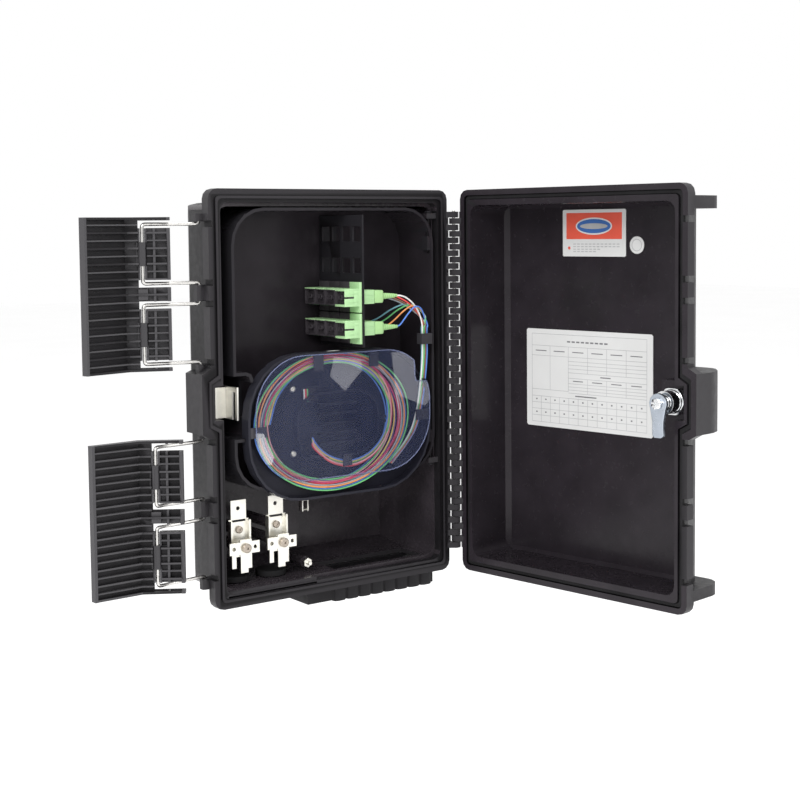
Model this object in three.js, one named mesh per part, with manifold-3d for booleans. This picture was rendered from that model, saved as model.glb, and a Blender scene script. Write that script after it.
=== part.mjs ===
// Wall-mounted outdoor fibre termination box, open, with swing-out distribution tray.
// Units: millimetres. +Z up. The back wall stands on the plane y = 0 and the box opens toward -Y.
// The door hangs on a full-height piano hinge on the +X side; two draw latches close it on the -X side.
import * as THREE from 'three';
import { mergeVertices } from 'three/addons/utils/BufferGeometryUtils.js';
import Module from 'manifold-3d';

const wasm = await Module();
wasm.setup();

// ---------------------------------------------------------------- driving dimensions
const H = 290;              // height of both halves over the flanges
const BASE_D = 66;          // hinge plane to the wall face
const HINGE_X = 108.2;      // hinge axis
const S0 = 6.2;             // hinge axis to the near edge of either flange
const S1 = 210.2;           // hinge axis to the far edge of either flange
const RIM_GAP = 0.4;        // each rim stands this far behind the hinge plane
const FLANGE_D = 9;         // depth of both flanges
const OPEN_ANGLE = 98.84;   // door opening angle at rest
const BULGE_S = 217.2;      // far edge of the flange round the lock
const BULGE_Z0 = -22.5, BULGE_Z1 = 18.6;
const WALL = 3;
const DOOR_D = 45;          // depth of the door behind its rim
const LOCK_S = 195, LOCK_Z = -1.5;
const KNUCKLES = 53, KN_PITCH = 4.87, KN_GAP = 0.5, KN_R = 3.7;
const LATCH_U = 74, LATCH_L = -75;       // mid heights of the two latches
const LATCH_H = 103.6;
const BAIL = { s: 211.8, w: 11.7, r: 1.25, leg1: 47.1, leg0: 7.2 };
const BAIL_LEN = 39.27;
const LEVER = { tip: 18.5, bend: 11, grip: 36, bendAngle: 38, out: 3.2, inn: 3.3 };
const PAN = { x0: -84, x1: 89.5, z0: -66, z1: 132, w0: 1.5, w1: 44, r: 26, ax: 87.5, aw: 5 };
const ADAPTER_PITCH = 13.4;
const CLAMP_X = [-73, -42.4], GROMMET_X = [-71.8, -41.2];

// ---------------------------------------------------------------- solid helpers
const solid = (geo) => {
  const g = geo.clone();
  g.deleteAttribute('normal'); g.deleteAttribute('uv');
  const m = mergeVertices(g, 1e-4);
  return new wasm.Manifold(new wasm.Mesh({
    numProp: 3,
    vertProperties: new Float32Array(m.attributes.position.array),
    triVerts: new Uint32Array(m.index.array),
  }));
};
const geometryOf = (man) => {
  const mesh = man.getMesh();
  const g = new THREE.BufferGeometry();
  g.setAttribute('position', new THREE.BufferAttribute(new Float32Array(mesh.vertProperties), 3));
  g.setIndex(new THREE.BufferAttribute(new Uint32Array(mesh.triVerts), 1));
  g.computeVertexNormals();
  return g;
};
const shapeOf = (pts, holes = []) => {
  const s = new THREE.Shape(pts.map((p) => new THREE.Vector2(p[0], p[1])));
  for (const h of holes) s.holes.push(new THREE.Path(h.map((p) => new THREE.Vector2(p[0], p[1]))));
  return s;
};
const extrude = (pts, depth, holes) => new THREE.ExtrudeGeometry(shapeOf(pts, holes), { depth, bevelEnabled: false, curveSegments: 4 });
// outline given in (x, y), pushed along z
const prismZ = (pts, z0, z1, holes) => { const g = extrude(pts, z1 - z0, holes); g.translate(0, 0, z0); return solid(g); };
// outline given in (x, z), pushed along y
const prismY = (pts, y0, y1, holes) => {
  const g = extrude(pts, y1 - y0, holes); g.translate(0, 0, -y1); g.rotateX(Math.PI / 2); return solid(g);
};
// outline given in (y, z), pushed along x
const prismX = (pts, x0, x1, holes) => {
  const g = extrude(pts, x1 - x0, holes); g.translate(0, 0, x0);
  g.applyMatrix4(new THREE.Matrix4().makeBasis(new THREE.Vector3(0, 1, 0), new THREE.Vector3(0, 0, 1), new THREE.Vector3(1, 0, 0)));
  return solid(g);
};
const box = (x0, x1, y0, y1, z0, z1) => {
  const g = new THREE.BoxGeometry(x1 - x0, y1 - y0, z1 - z0);
  g.translate((x0 + x1) / 2, (y0 + y1) / 2, (z0 + z1) / 2); return solid(g);
};
const rod = (axis, r, c, a0, a1, n = 12, r2 = r) => {
  const g = new THREE.CylinderGeometry(r2, r, a1 - a0, n);      // along +Y
  g.translate(0, (a0 + a1) / 2, 0);
  if (axis === 'x') { g.rotateZ(-Math.PI / 2); g.translate(0, c[0], c[1]); }
  if (axis === 'y') g.translate(c[0], 0, c[1]);
  if (axis === 'z') { g.rotateX(Math.PI / 2); g.translate(c[0], c[1], 0); }
  return solid(g);
};
const union = (...a) => a.flat().reduce((p, q) => p.add(q));
const cut = (a, ...b) => b.flat().reduce((p, q) => p.subtract(q), a);
const roundRect = (x0, x1, y0, y1, r, n = 4) => {
  const pts = [];
  const rr = Array.isArray(r) ? r : [r, r, r, r];
  const c = [[x1 - rr[0], y0 + rr[0], -90, rr[0]], [x1 - rr[1], y1 - rr[1], 0, rr[1]], [x0 + rr[2], y1 - rr[2], 90, rr[2]], [x0 + rr[3], y0 + rr[3], 180, rr[3]]];
  for (const [cx, cy, a0, q] of c) for (let i = 0; i <= n; i++) {
    const a = (a0 + 90 * i / n) * Math.PI / 180;
    pts.push([cx + q * Math.cos(a), cy + q * Math.sin(a)]);
  }
  return pts;
};
// tube along a smooth path through points
const tube = (pts, r, n = 8, steps = 24, closed = false) => {
  const curve = new THREE.CatmullRomCurve3(pts.map((p) => new THREE.Vector3(...p)), closed, 'centripetal');
  const sec = [];
  for (let i = 0; i < n; i++) sec.push([r * Math.cos(2 * Math.PI * i / n), r * Math.sin(2 * Math.PI * i / n)]);
  return solid(new THREE.ExtrudeGeometry(shapeOf(sec), { steps, extrudePath: curve, bevelEnabled: false }));
};

// ---------------------------------------------------------------- outlines shared by both halves, in (s, z); s grows from the hinge
const flip = (pts) => pts.map((p) => [HINGE_X - p[0], p[1]]).reverse();
const rimOutline = (i, extra = 0) => {
  const r = Math.max(7 - i, 3), n = 3, pts = [];
  const arc = (cx, cz, a0) => { for (let k = 0; k <= n; k++) { const a = (a0 + 90 * k / n) * Math.PI / 180; pts.push([cx + r * Math.cos(a), cz + r * Math.sin(a)]); } };
  arc(S1 - i - r, -H / 2 + i + r, -90);
  pts.push([S1 - i, BULGE_Z0 + i - 4 + extra], [BULGE_S - i, BULGE_Z0 + i + extra], [BULGE_S - i, BULGE_Z1 - i - extra], [S1 - i, BULGE_Z1 - i + 4 - extra]);
  arc(S1 - i - r, H / 2 - i - r, 0);
  arc(S0 + i + r, H / 2 - i - r, 90);
  arc(S0 + i + r, -H / 2 + i + r, 180);
  return pts;
};
const LATCH_MIDS = [LATCH_U, LATCH_L];
const wireHeights = LATCH_MIDS.flatMap((c) => [BAIL.leg1, BAIL.leg0, -BAIL.leg0, -BAIL.leg1].map((d) => c + d));

// hinge knuckle of one half: web from the flange to an eye on the axis; side = +1 keeps y as depth
const knuckle = (z0, z1) => {
  const n = 5;
  const clean = [[S0 + 1.2, 0.5], [S0 + 1.2, 5.6]];
  for (let i = 0; i <= n; i++) { const a = (55 + 250 * i / n) * Math.PI / 180; clean.push([KN_R * Math.cos(a), KN_R * Math.sin(a)]); }
  const hole = []; for (let i = 0; i < 6; i++) { const a = i * Math.PI / 3; hole.push([1.95 * Math.cos(a), 1.95 * Math.sin(a)]); }
  return [clean, hole, z0, z1];
};
const knucklesOf = (parity, mirror) => {
  const list = [];
  const zTop = KNUCKLES * KN_PITCH / 2;
  for (let i = 0; i < KNUCKLES; i++) {
    if (i % 2 !== parity) continue;
    const z1 = zTop - i * KN_PITCH - KN_GAP / 2, z0 = z1 - KN_PITCH + KN_GAP;
    let [out, hole] = knuckle(z0, z1);
    if (mirror) { out = out.map((p) => [-p[0], p[1]]).reverse(); hole = hole.map((p) => [-p[0], p[1]]).reverse(); }
    list.push(prismZ(out, z0 + 0, z1, [hole]));
  }
  return list;
};

const root = new THREE.Group();
const part = (parent, name, man, color, roughness = 0.5, metalness = 0) => {
  const mesh = new THREE.Mesh(geometryOf(man), new THREE.MeshStandardMaterial({ color, roughness, metalness }));
  mesh.name = name; parent.add(mesh); return mesh;
};
const BLACK = '#1c1a1d', SOFT = '#161517', NICKEL = '#cfccc2', CHROME = '#d9dcdf', STEEL = '#d6d6d0', GREEN = '#57c24f';

// ================================================================ base half, built with y measured from the hinge plane, then moved to the wall
const base = new THREE.Group(); base.position.y = -BASE_D; root.add(base);
{
  const sx = (pts) => pts.map((p) => [HINGE_X - p[0], p[1]]).reverse();
  let shell = prismY(flip(rimOutline(0)), RIM_GAP, FLANGE_D);
  let body = prismZ(sx([[13.2, FLANGE_D - 1], [203.2, FLANGE_D - 1], [203.2, 42], [191, 66], [25.4, 66], [13.2, 42]]), -140, 140)
    .intersect(prismX([[FLANGE_D - 1, -136], [66, -136].map((v, i) => i ? -128 : v), [66, 128], [46, 136], [FLANGE_D - 1, 136]].reduce((acc, p, i) => { if (i === 1) acc.push([46, -136]); acc.push(p); return acc; }, []), -120, 120))
    .intersect(prismY(roundRect(HINGE_X - 203.2, HINGE_X - 13.2, -136, 136, 10, 3), 0, 70));
  shell = union(shell, body);
  // lock housing bulge on the free side
  shell = shell.add(prismZ(sx([[199, 8.5], [BULGE_S, 8.5], [BULGE_S, 24], [201.5, 44], [199, 44]]), BULGE_Z0, BULGE_Z1));
  // ears for the wire bails
  const ear = (z0, z1) => prismZ(sx([[201.5, 8.5], [213, 8.5], [214.9, 9.6], [214.9, 13.8], [212.9, 15.2], [201.5, 17.5]]), z0, z1);
  const [u1, u2, u3, u4, l1, l2, l3, l4] = wireHeights;
  shell = union(shell, ear(u1 + 1.7, 128.2), ear(u3 + 1.7, u2 - 1.7), ear(BULGE_Z1 - 1, u4 - 1.7), ear(l1 + 1.7, BULGE_Z0 + 1), ear(l3 + 1.7, l2 - 1.7), ear(-131, l4 - 1.7));
  // cavity
  const cavity = prismZ(sx([[16.2, 3], [200.2, 3], [200.2, 41], [188.6, 63], [27.8, 63], [16.2, 41]]), -140, 140)
    .intersect(prismX([[3, -133], [44, -133], [63, -125.5], [63, 125.5], [44, 133], [3, 133]], -120, 120))
    .intersect(prismY(roundRect(HINGE_X - 200.2, HINGE_X - 16.2, -133, 133, 8, 3), 0, 70));
  const mouth = prismY(roundRect(HINGE_X - 201, HINGE_X - 15.4, -135.6, 135.6, 6, 3), -3, 7);
  const lockPocket = prismZ(sx([[190, -3], [207.6, -3], [207.6, 20], [201, 32], [190, 32]]), -13.3, 10.2);
  // block that carries the strike
  let inner = cut(shell, cavity, mouth, lockPocket);
  inner = inner.add(box(HINGE_X - 201, HINGE_X - 185.9, 23.0, 31, -14, 8));
  // raised tongue that meets the seal of the door
  const tongue = prismY(flip(rimOutline(5.0)), -1.0, 0.9, [flip(rimOutline(6.8)).reverse()]);
  inner = inner.add(tongue);
  // raised bar along the lower lip, left of the drop ports, with a groove under it
  inner = inner.add(box(-91.5, -19, 0.9, 7.6, -136.5, -133.0));
  inner = inner.subtract(box(-91.5, -19, -0.5, 5, -138.0, -136.4));
  // clearance notches and pivot holes for the wires
  for (const z of wireHeights) inner = inner.subtract(prismZ(sx([[207.2, 0], [212, 0], [212, 9.6], [208.6, 9.6]]), z - 2.2, z + 2.2));
  const pinHole = (z0, z1) => rod('z', 1.75, [HINGE_X - BAIL.s, BAIL.w], z0, z1, 8);
  inner = cut(inner, pinHole(u1, u1 + 6.4), pinHole(u2 - 6.4, u2), pinHole(u3, u3 + 6.4 - 1.6), pinHole(u4 - 6, u4), pinHole(l1, l1 + 6), pinHole(l2 - 4.8, l2), pinHole(l3, l3 + 4.8), pinHole(l4 - 6, l4));
  // brackets for the swing tray pivots
  const arm = (z0, z1) => cut(box(84, 92.6, 1.8, 8.2, z0, z1), rod('z', 1.8, [PAN.ax, PAN.aw], z0 - 1, z1 + 1, 8));
  inner = union(inner, arm(123.7, 127.7), arm(-61.4, -57.4));
  // posts for the cable clamps, stud bosses, wall-screw holes
  const post = (x, z, r, w) => rod('y', r, [x, z], w, 64, 8);
  for (const x of CLAMP_X) inner = union(inner, post(x, -94.5, 4.2, 19.3), post(x, -106, 4.2, 19.3));
  inner = union(inner, post(-16.8, -126, 4, 20));
  inner = cut(inner, [[-60, 104], [60, 104], [-60, -100], [60, -100]].map(([x, z]) => rod('y', 3.2, [x, z], 64.6, 68, 10)));
  inner = cut(inner, CLAMP_X.flatMap((x) => [rod('y', 1.9, [x, -94.5], 12, 28, 8)]), rod('y', 1.9, [-16.8, -126], 12, 30, 8));
  // cable entries through the bottom wall
  inner = cut(inner, rod('z', 9.2, [-71.8, 28], -140, -130, 16), rod('z', 9.2, [-41.2, 28], -140, -130, 16), box(4, 83, 12.5, 38.5, -140, -130));
  // knuckles of the piano hinge
  inner = union(inner, knucklesOf(0, true).map((k) => k.translate(HINGE_X, 0, 0)));
  part(base, 'base_shell', inner, BLACK, 0.45);

  // hinge pin
  part(base, 'hinge_pin', rod('z', 1.35, [HINGE_X, 0], -129.6, 129.6, 8), STEEL, 0.3, 1);

  // strike: a foot on the block and an upright, notched from below for the cam
  let strike = union(box(-79.4, -77.9, 5.6, 22.6, -15.4, 7.8), box(-87.7, -78.5, 21.2, 22.6, -14.9, 6.9));
  strike = cut(strike, box(-80, -77, 8.3, 12.5, -16, 4.2));
  part(base, 'strike_plate', strike, NICKEL, 0.28, 1);

  // two cable clamps: a channel with flanges, a fixing tab above, two legs below, and a screwed cross plate
  for (const [k, tag] of ['left', 'right'].entries()) {
    const x = CLAMP_X[k], gx = GROMMET_X[k];
    const c = (a, b, w0, w1, z0, z1) => box(x + a, x + b, w0, w1, z0, z1);
    let br = union(c(-6.2, 6.2, 17.6, 19, -88, -73.4), c(-8, 8, 17.6, 19, -108, -87),
      c(-8, -6.6, 14.2, 19, -104.6, -87.6), c(6.6, 8, 14.2, 19, -104.6, -87.6),
      c(-8, -6.6, 13.4, 19, -108, -104), c(6.6, 8, 13.4, 19, -122, -104), c(-8, 8, 13.4, 14.8, -113, -104.2),
      c(-8, -4.6, 13.4, 14.8, -121, -112), c(-1.0, 5.0, 13.4, 14.8, -125, -112), c(4.8, 7, 13.4, 14.8, -122, -112));
    br = cut(br, rod('y', 1.5, [x - 0.4, -79.2], 16, 20, 8), c(-5.6, 5.6, 17, 20, -88.9, -87.3), rod('y', 1.9, [x, -94.5], 16, 20, 8), rod('y', 1.9, [x, -106], 11, 20, 8));
    part(base, `clamp_bracket_${tag}`, br, NICKEL, 0.3, 1);
    let pl = union(c(-13, 11, 7.6, 9, -110, -101.6), c(-4.6, 4.6, 7.6, 9, -111.5, -100));
    pl = cut(pl, rod('y', 1.9, [x, -106], 7, 10, 8), rod('y', 1.5, [x - 9.6, -105.8], 7, 10, 8), rod('y', 1.5, [x + 7.6, -105.8], 7, 10, 8));
    part(base, `clamp_plate_${tag}`, pl, NICKEL, 0.25, 1);
    part(base, `clamp_screw_${tag}`, union(rod('y', 3.4, [x, -106], 5.0, 7.3, 6), rod('y', 1.5, [x, -106], 6.5, 19, 8)), NICKEL, 0.3, 1);
    part(base, `anchor_screw_${tag}`, union(rod('y', 2.6, [x, -94.5], 15.8, 17.3, 8), rod('y', 1.5, [x, -94.5], 16.5, 26.5, 8)), NICKEL, 0.3, 1);
    // rubber grommet in the cable entry, seen as a stepped ring with a blind membrane
    let gr = union(rod('z', 11.2, [gx, 28], -132.6, -128.4, 16), rod('z', 8.8, [gx, 28], -138.5, -131, 16), rod('z', 11.6, [gx, 28], -142.5, -136.3, 16));
    gr = cut(gr, rod('z', 6.2, [gx, 28], -144, -133.5, 12));
    part(base, `cable_grommet_${tag}`, gr, SOFT, 0.75);
  }
  // earth stud with its nut
  part(base, 'earth_stud', union(rod('y', 1.5, [-16.8, -126], 12.4, 28, 8), rod('y', 3.6, [-16.8, -126], 15.6, 18, 6)), NICKEL, 0.3, 1);
  // drop cable ports under the floor: eight by two sleeves and an end block
  {
    let comb = box(-27, 3, 16, 40, -149.5, -136.4);
    const pitch = 11.3;
    const lobes = [];
    for (let i = 0; i < 8; i++) lobes.push(prismZ(roundRect(2.6 + i * pitch, 2.6 + i * pitch + 11.0, 10.2, 42, 3.2, 2), -157, -139.2));
    comb = union(comb, box(-20, 94, 11.6, 40.6, -156, -136.4), lobes);
    comb = cut(comb, box(8, 88, 15, 36.5, -137.5, -135));
    const bores = [];
    for (let i = 0; i < 8; i++) for (const w of [18.2, 33.6]) bores.push(rod('z', 3.6, [8.1 + i * pitch, w], -158, -155.6, 8));
    comb = cut(comb, bores);
    part(base, 'drop_port_comb', comb, SOFT, 0.6);
  }
  part(base, 'tray_pin_upper', union(rod('z', 1.45, [PAN.ax, PAN.aw], 103, 128.4, 8), rod('z', 2.6, [PAN.ax, PAN.aw], 128.0, 129.5, 8)), STEEL, 0.35, 1);
  part(base, 'tray_pin_lower', union(rod('z', 1.45, [PAN.ax, PAN.aw], -62, -38.5, 8), rod('z', 2.6, [PAN.ax, PAN.aw], -63.2, -61.7, 8)), STEEL, 0.35, 1);
}

// ================================================================ swing tray and all that it carries (coordinates as the base half)
{
  const P = PAN;
  const outer = roundRect(P.x0, P.x1, P.z0, P.z1, P.r, 5);
  const inner = roundRect(P.x0 + 2.2, P.x1 - 2.2, P.z0 + 2.2, P.z1 - 2.2, P.r - 2.2, 5);
  let pan = cut(prismY(outer, P.w0, P.w1), prismY(inner, P.w0 - 1, P.w1 - 2.2));
  // step round the lock
  const nook = roundRect(-90, -70.6, -28, 16, 4, 2), wallNook = roundRect(-92, -68.4, -30.2, 18.2, 5, 2);
  pan = cut(union(pan, prismY(wallNook, P.w0, P.w1).intersect(prismY(outer, P.w0, P.w1))), prismY(nook, 0, 50), box(-75, -60, 0, 18, -14, 11));
  // pivot lugs
  const lug = (z0, z1) => box(84.2, P.x1 - 0.6, 2, 8.3, z0, z1);
  pan = union(pan, lug(100, 110.6), lug(-45, -36));
  pan = cut(pan, rod('z', 1.8, [P.ax, P.aw], 98, 130, 8), rod('z', 1.8, [P.ax, P.aw], -64, -33, 8));
  // posts for the splice tray
  for (const x of [-43, 44.5]) pan = pan.add(rod('y', 4, [x, -24], 7.3, 43, 8));
  pan = cut(pan, rod('y', 1.9, [44.5, -24], 6, 16, 8), prismY(roundRect(-75.5, 84.5, -76.5, 29.5, 44.5, 6), -4, 7.3));
  part(base, 'swing_tray', pan, BLACK, 0.3);

  // adapter bracket: upright plate with four by four windows, on a foot
  const AX = 11.8, rows = [67.6, 44.9, 90.3, 113];
  let plate = box(AX + 1.4, AX + 2.9, -15.2, 41.6, 31.5, 126.5);
  plate = plate.add(box(AX + 2.4, AX + 16, 40.1, 41.6, 31.5, 126.5));
  for (const z of rows) for (let k = 0; k < 4; k++) {
    const w = -8.0 + k * ADAPTER_PITCH;
    plate = plate.subtract(box(AX, AX + 4, w - 5.1, w + 5.1, z - 5.4, z + 5.4));
  }
  part(base, 'adapter_bracket', plate, SOFT, 0.5);

  // eight simplex adapters with one plugged connector each
  const names = ['upper', 'lower'];
  [67.6, 44.9].forEach((z, r) => {
    for (let k = 0; k < 4; k++) {
      const w = -8.0 + k * ADAPTER_PITCH;
      let ad = union(box(AX - 13.6, AX + 1.0, w - 6.35, w + 6.35, z - 6.4, z + 6.4), box(AX - 0.9, AX + 1.0, w - 6.4, w + 6.4, z - 11, z + 11), box(AX + 0.5, AX + 13.4, w - 4.7, w + 4.7, z - 5.0, z + 5.0));
      ad = cut(ad, box(AX - 14, AX - 3, w - 4.7, w + 4.7, z - 4.7, z + 4.7), box(AX + 4, AX + 14, w - 4.0, w + 4.0, z - 4.2, z + 4.2));
      part(base, `adapter_${names[r]}_${k + 1}`, ad, GREEN, 0.4);
      let pl = union(box(AX + 4.5, AX + 22, w - 3.6, w + 3.6, z - 3.8, z + 3.8), box(AX + 13.8, AX + 21, w - 4.4, w + 4.4, z - 4.6, z + 4.6));
      pl = pl.add(rod('x', 2.4, [w, z], AX + 21, AX + 36.5, 8, 1.3));
      part(base, `connector_${names[r]}_${k + 1}`, pl, GREEN, 0.45);
    }
  });

  // splice tray: oblong dish with an island and hold-down tabs
  const T = { x0: -75, x1: 83, z0: -76, z1: 29, w0: -2, w1: 7 };
  let dish = cut(prismY(roundRect(T.x0, T.x1, T.z0, T.z1, 44, 6), T.w0, T.w1), prismY(roundRect(T.x0 + 1.8, T.x1 - 1.8, T.z0 + 1.8, T.z1 - 1.8, 42.2, 6), T.w0 - 1, T.w1 - 2));
  dish = dish.add(cut(prismY(roundRect(-34, 38, -48, 0, 20, 4), 0.4, 6), prismY(roundRect(-32.4, 36.4, -46.4, -1.6, 18.4, 4), -1, 5)));
  const tab = (x0, x1, z0, z1) => box(x0, x1, -1.6, -0.6, z0, z1);
  dish = union(dish, tab(-74, -60, -28, -20.6), tab(70, 83, -27, -19), tab(4, 11.6, -55, -46.4), box(4, 11.6, -1.6, 1, -48, -46.5), tab(-20, -12, 16, 28), tab(28, 36, 16, 28));
  // mouth where the pigtails come in, at the upper right
  dish = cut(dish, box(60, 86, -3, 3.2, 4, 20));
  dish = cut(dish, rod('y', 1.9, [44.5, -24], 4, 8, 8));
  // splice holder ribs
  for (let i = 0; i < 5; i++) dish = dish.add(box(-14, 18, 1.2, 5.5, -38 + i * 7, -36.6 + i * 7));
  part(base, 'splice_tray', dish, SOFT, 0.35);
  part(base, 'splice_tray_screw', union(rod('y', 3.0, [44.5, -24], 2.8, 4.7, 8), rod('y', 1.5, [44.5, -24], 4, 14, 8)), NICKEL, 0.3, 1);

  // coil of bare pigtails lying in the dish
  const ring = prismY(roundRect(-67, 66, -72, 24, 46, 5), 0.4, 3.6, [roundRect(-53, 52, -58, 10, 32, 5).reverse()]);
  part(base, 'fiber_coil', ring, '#8a5ab0', 0.5);

  // guide clip on the right edge of the tray
  const clip = union(box(73.5, 83.4, -4.6, -2.8, 30, 38), box(73.5, 75.1, -4.6, 1.6, 30, 38), box(82.2, 83.4, -4.6, 1.1, 30, 38));
  part(base, 'fiber_clip', clip, SOFT, 0.5);

  // pigtails from both connector rows to the clip, then down into the dish
  part(base, 'pigtails_upper', tube([[AX + 37.2, -7, 67.6], [AX + 44, -6.2, 67.2], [68, -3.6, 63.6], [76.4, -0.8, 53], [78.2, 0.2, 45], [78.2, 0.3, 41.6]], 1.1, 6, 14), '#c86a3a', 0.5);
  part(base, 'pigtails_lower', tube([[AX + 37.2, -7, 44.9], [AX + 44, -6.6, 45.3], [68, -4.6, 47.4], [76.5, -3.4, 46.6], [81.3, -1.2, 44.4], [81.3, 0.3, 41.6]], 1.1, 6, 14), '#6aa86a', 0.5);
  part(base, 'pigtail_bundle', tube([[79.8, 0.2, 41.2], [79.9, -0.2, 35], [80, 0, 24], [77.5, 1.2, 15], [69.5, 1.9, 12.4]], 1.3, 6, 14), '#5aa0c8', 0.5);

  // clear cover over the dish, on two pivots at its lower edge
  let cover = prismY(roundRect(-70, 82, -62, 28, 40, 5), -3.9, -2.7);
  cover = cut(cover, box(68, 90, -5, 0, 3, 40));
  cover = union(cover, rod('x', 1.6, [-3.3, -62.2], -30, 42, 8));
  part(base, 'splice_tray_cover', cover, '#bcd2e6', 0.08);
}

// ================================================================ door half, in its own (s, w, z) frame on the hinge axis
const door = new THREE.Group();
door.position.set(HINGE_X, -BASE_D, 0);
door.rotation.z = (180 + OPEN_ANGLE) * Math.PI / 180;
root.add(door);
{
  const f = (pts) => pts;
  let shell = prismY(rimOutline(0), RIM_GAP, FLANGE_D);
  const arc = (cx, cw, r, a0, a1, n = 4) => Array.from({ length: n + 1 }, (_, i) => { const a = (a0 + (a1 - a0) * i / n) * Math.PI / 180; return [cx + r * Math.cos(a), cw + r * Math.sin(a)]; });
  let body = prismZ([[12.2, 8], [S1, 8], ...arc(S1 - 14, 31, 14, 0, 90), ...arc(24.2, 33, 12, 90, 180)], -140, 140)
    .intersect(prismX([[7, -136.6], ...arc(36, 127.6, 9, 0, 90, 3).map(([w, z]) => [w, -z]).reverse().reverse().reverse(), ...arc(36, 127.6, 9, 0, 90, 3), [7, 136.6]], 0, 230));
  shell = union(shell, body);
  shell = shell.add(prismZ([[190, 8], [BULGE_S, 8], [BULGE_S, 17], ...arc(BULGE_S - 27, 18, 27, 8, 84, 4), [190, 45]], BULGE_Z0, BULGE_Z1));
  // recesses that receive the closed levers
  const recess = [[205.6, 7.9], [194.7, 33.3], [172.7, 45], [172, 50], [225, 50], [225, 7.9]];
  shell = cut(shell, prismZ(recess, BULGE_Z1, 128), prismZ(recess, -128.8, BULGE_Z0));
  // cavity
  const cavity = prismZ([[16.6, -2], [200.2, -2], [200.2, 14.6], [192.7, 31.4], [172, 42.4], [20, 42.4], [16.6, 39]], -140, 140)
    .intersect(prismX([[-2, -133.2], [40, -133.2], [42.4, -130.6], [42.4, 130.6], [40, 133.2], [-2, 133.2]], 0, 230))
    .intersect(prismY(roundRect(16.6, 200.2, -133.2, 133.2, 7, 3), -3, 70));
  shell = cut(shell, cavity);
  // housing round the lock barrel
  shell = union(shell, prismZ([[184.2, 9], [208, 9], [208, 40], [196, 45], [184.2, 45]], -15.4, 12.4));
  shell = cut(shell, prismZ([[180, -2], [207.4, -2], [207.4, 9], [180, 9]], -13.3, 10.2));
  shell = cut(shell, rod('y', 8.35, [LOCK_S, LOCK_Z], 5, 25, 20), rod('y', 10.6, [LOCK_S, LOCK_Z], 22, 60, 20));
  // groove for the seal
  shell = cut(shell, prismY(rimOutline(4.2), -1, 4.4, [rimOutline(7.4).reverse()]));
  for (const z of wireHeights) shell = shell.subtract(prismZ([[206.2, -1], [213, -1], [213, 10], [204.8, 10]], z - 2.2, z + 2.2));
  // knuckles
  shell = union(shell, knucklesOf(1, false));
  // stiffening pad on the front face
  shell = shell.add(prismY(roundRect(30, 160, -118, 118, 14, 3), 44.5, 46));
  part(door, 'door_shell', shell, BLACK, 0.4);

  part(door, 'door_seal', prismY(rimOutline(4.5), 2.0, 4.1, [rimOutline(7.1).reverse()]), SOFT, 0.85);
  part(door, 'record_card', prismY(roundRect(36.9, 153.5, -34.6, 39.6, 0.5, 1), 41.6, 42.1), '#f2f2f0', 0.6);
  part(door, 'caution_label', prismY(roundRect(72.2, 129.8, 94.6, 129, 0.8, 1), 41.6, 42.1), '#d8432f', 0.45);
  part(door, 'round_sticker', rod('y', 6.3, [139.4, 103], 41.6, 42.1, 16), '#f0efef', 0.5);
  // cam lock
  let barrel = union(rod('y', 8, [LOCK_S, LOCK_Z], -5, 23.5, 20), rod('y', 9.9, [LOCK_S, LOCK_Z], 22.3, 25.2, 20));
  barrel = cut(barrel, rod('y', 5.4, [LOCK_S, LOCK_Z], -6, 26, 16));
  part(door, 'lock_barrel', barrel, CHROME, 0.15, 1);
  part(door, 'lock_nut', cut(rod('y', 10.4, [LOCK_S, LOCK_Z], 4.4, 8.7, 6), rod('y', 8.3, [LOCK_S, LOCK_Z], 3, 10, 20)), CHROME, 0.2, 1);
  part(door, 'lock_plug', cut(rod('y', 5.1, [LOCK_S, LOCK_Z], -8.6, 24.6, 16), box(LOCK_S - 0.6, LOCK_S + 0.6, 14, 26, LOCK_Z - 3, LOCK_Z + 3), rod('y', 1.9, [LOCK_S, LOCK_Z], -10, 2, 8)), CHROME, 0.25, 1);
  const c = [];
  for (let i = 0; i <= 8; i++) { const a = (-30 + 240 * i / 8) * Math.PI / 180; c.push([LOCK_S + 7 * Math.cos(a), LOCK_Z + 7 * Math.sin(a)]); }
  c.push([LOCK_S - 4.4, LOCK_Z - 12], [LOCK_S - 4.4, LOCK_Z - 21.5], [LOCK_S - 2.6, LOCK_Z - 23], [LOCK_S + 2.6, LOCK_Z - 23], [LOCK_S + 4.4, LOCK_Z - 21.5], [LOCK_S + 4.4, LOCK_Z - 12]);
  part(door, 'lock_cam', cut(prismY(c, -11.9, -8.9), rod('y', 1.9, [LOCK_S, LOCK_Z], -13, -8, 8)), '#aab3bd', 0.3, 1);
  part(door, 'cam_screw', union(rod('y', 4.2, [LOCK_S, LOCK_Z], -14.4, -12.2, 6), rod('y', 1.5, [LOCK_S, LOCK_Z], -13, 0.5, 8)), CHROME, 0.2, 1);
}

// ================================================================ draw latches: wire bails on the base, levers on the bails
const rad = (d) => d * Math.PI / 180;
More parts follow.
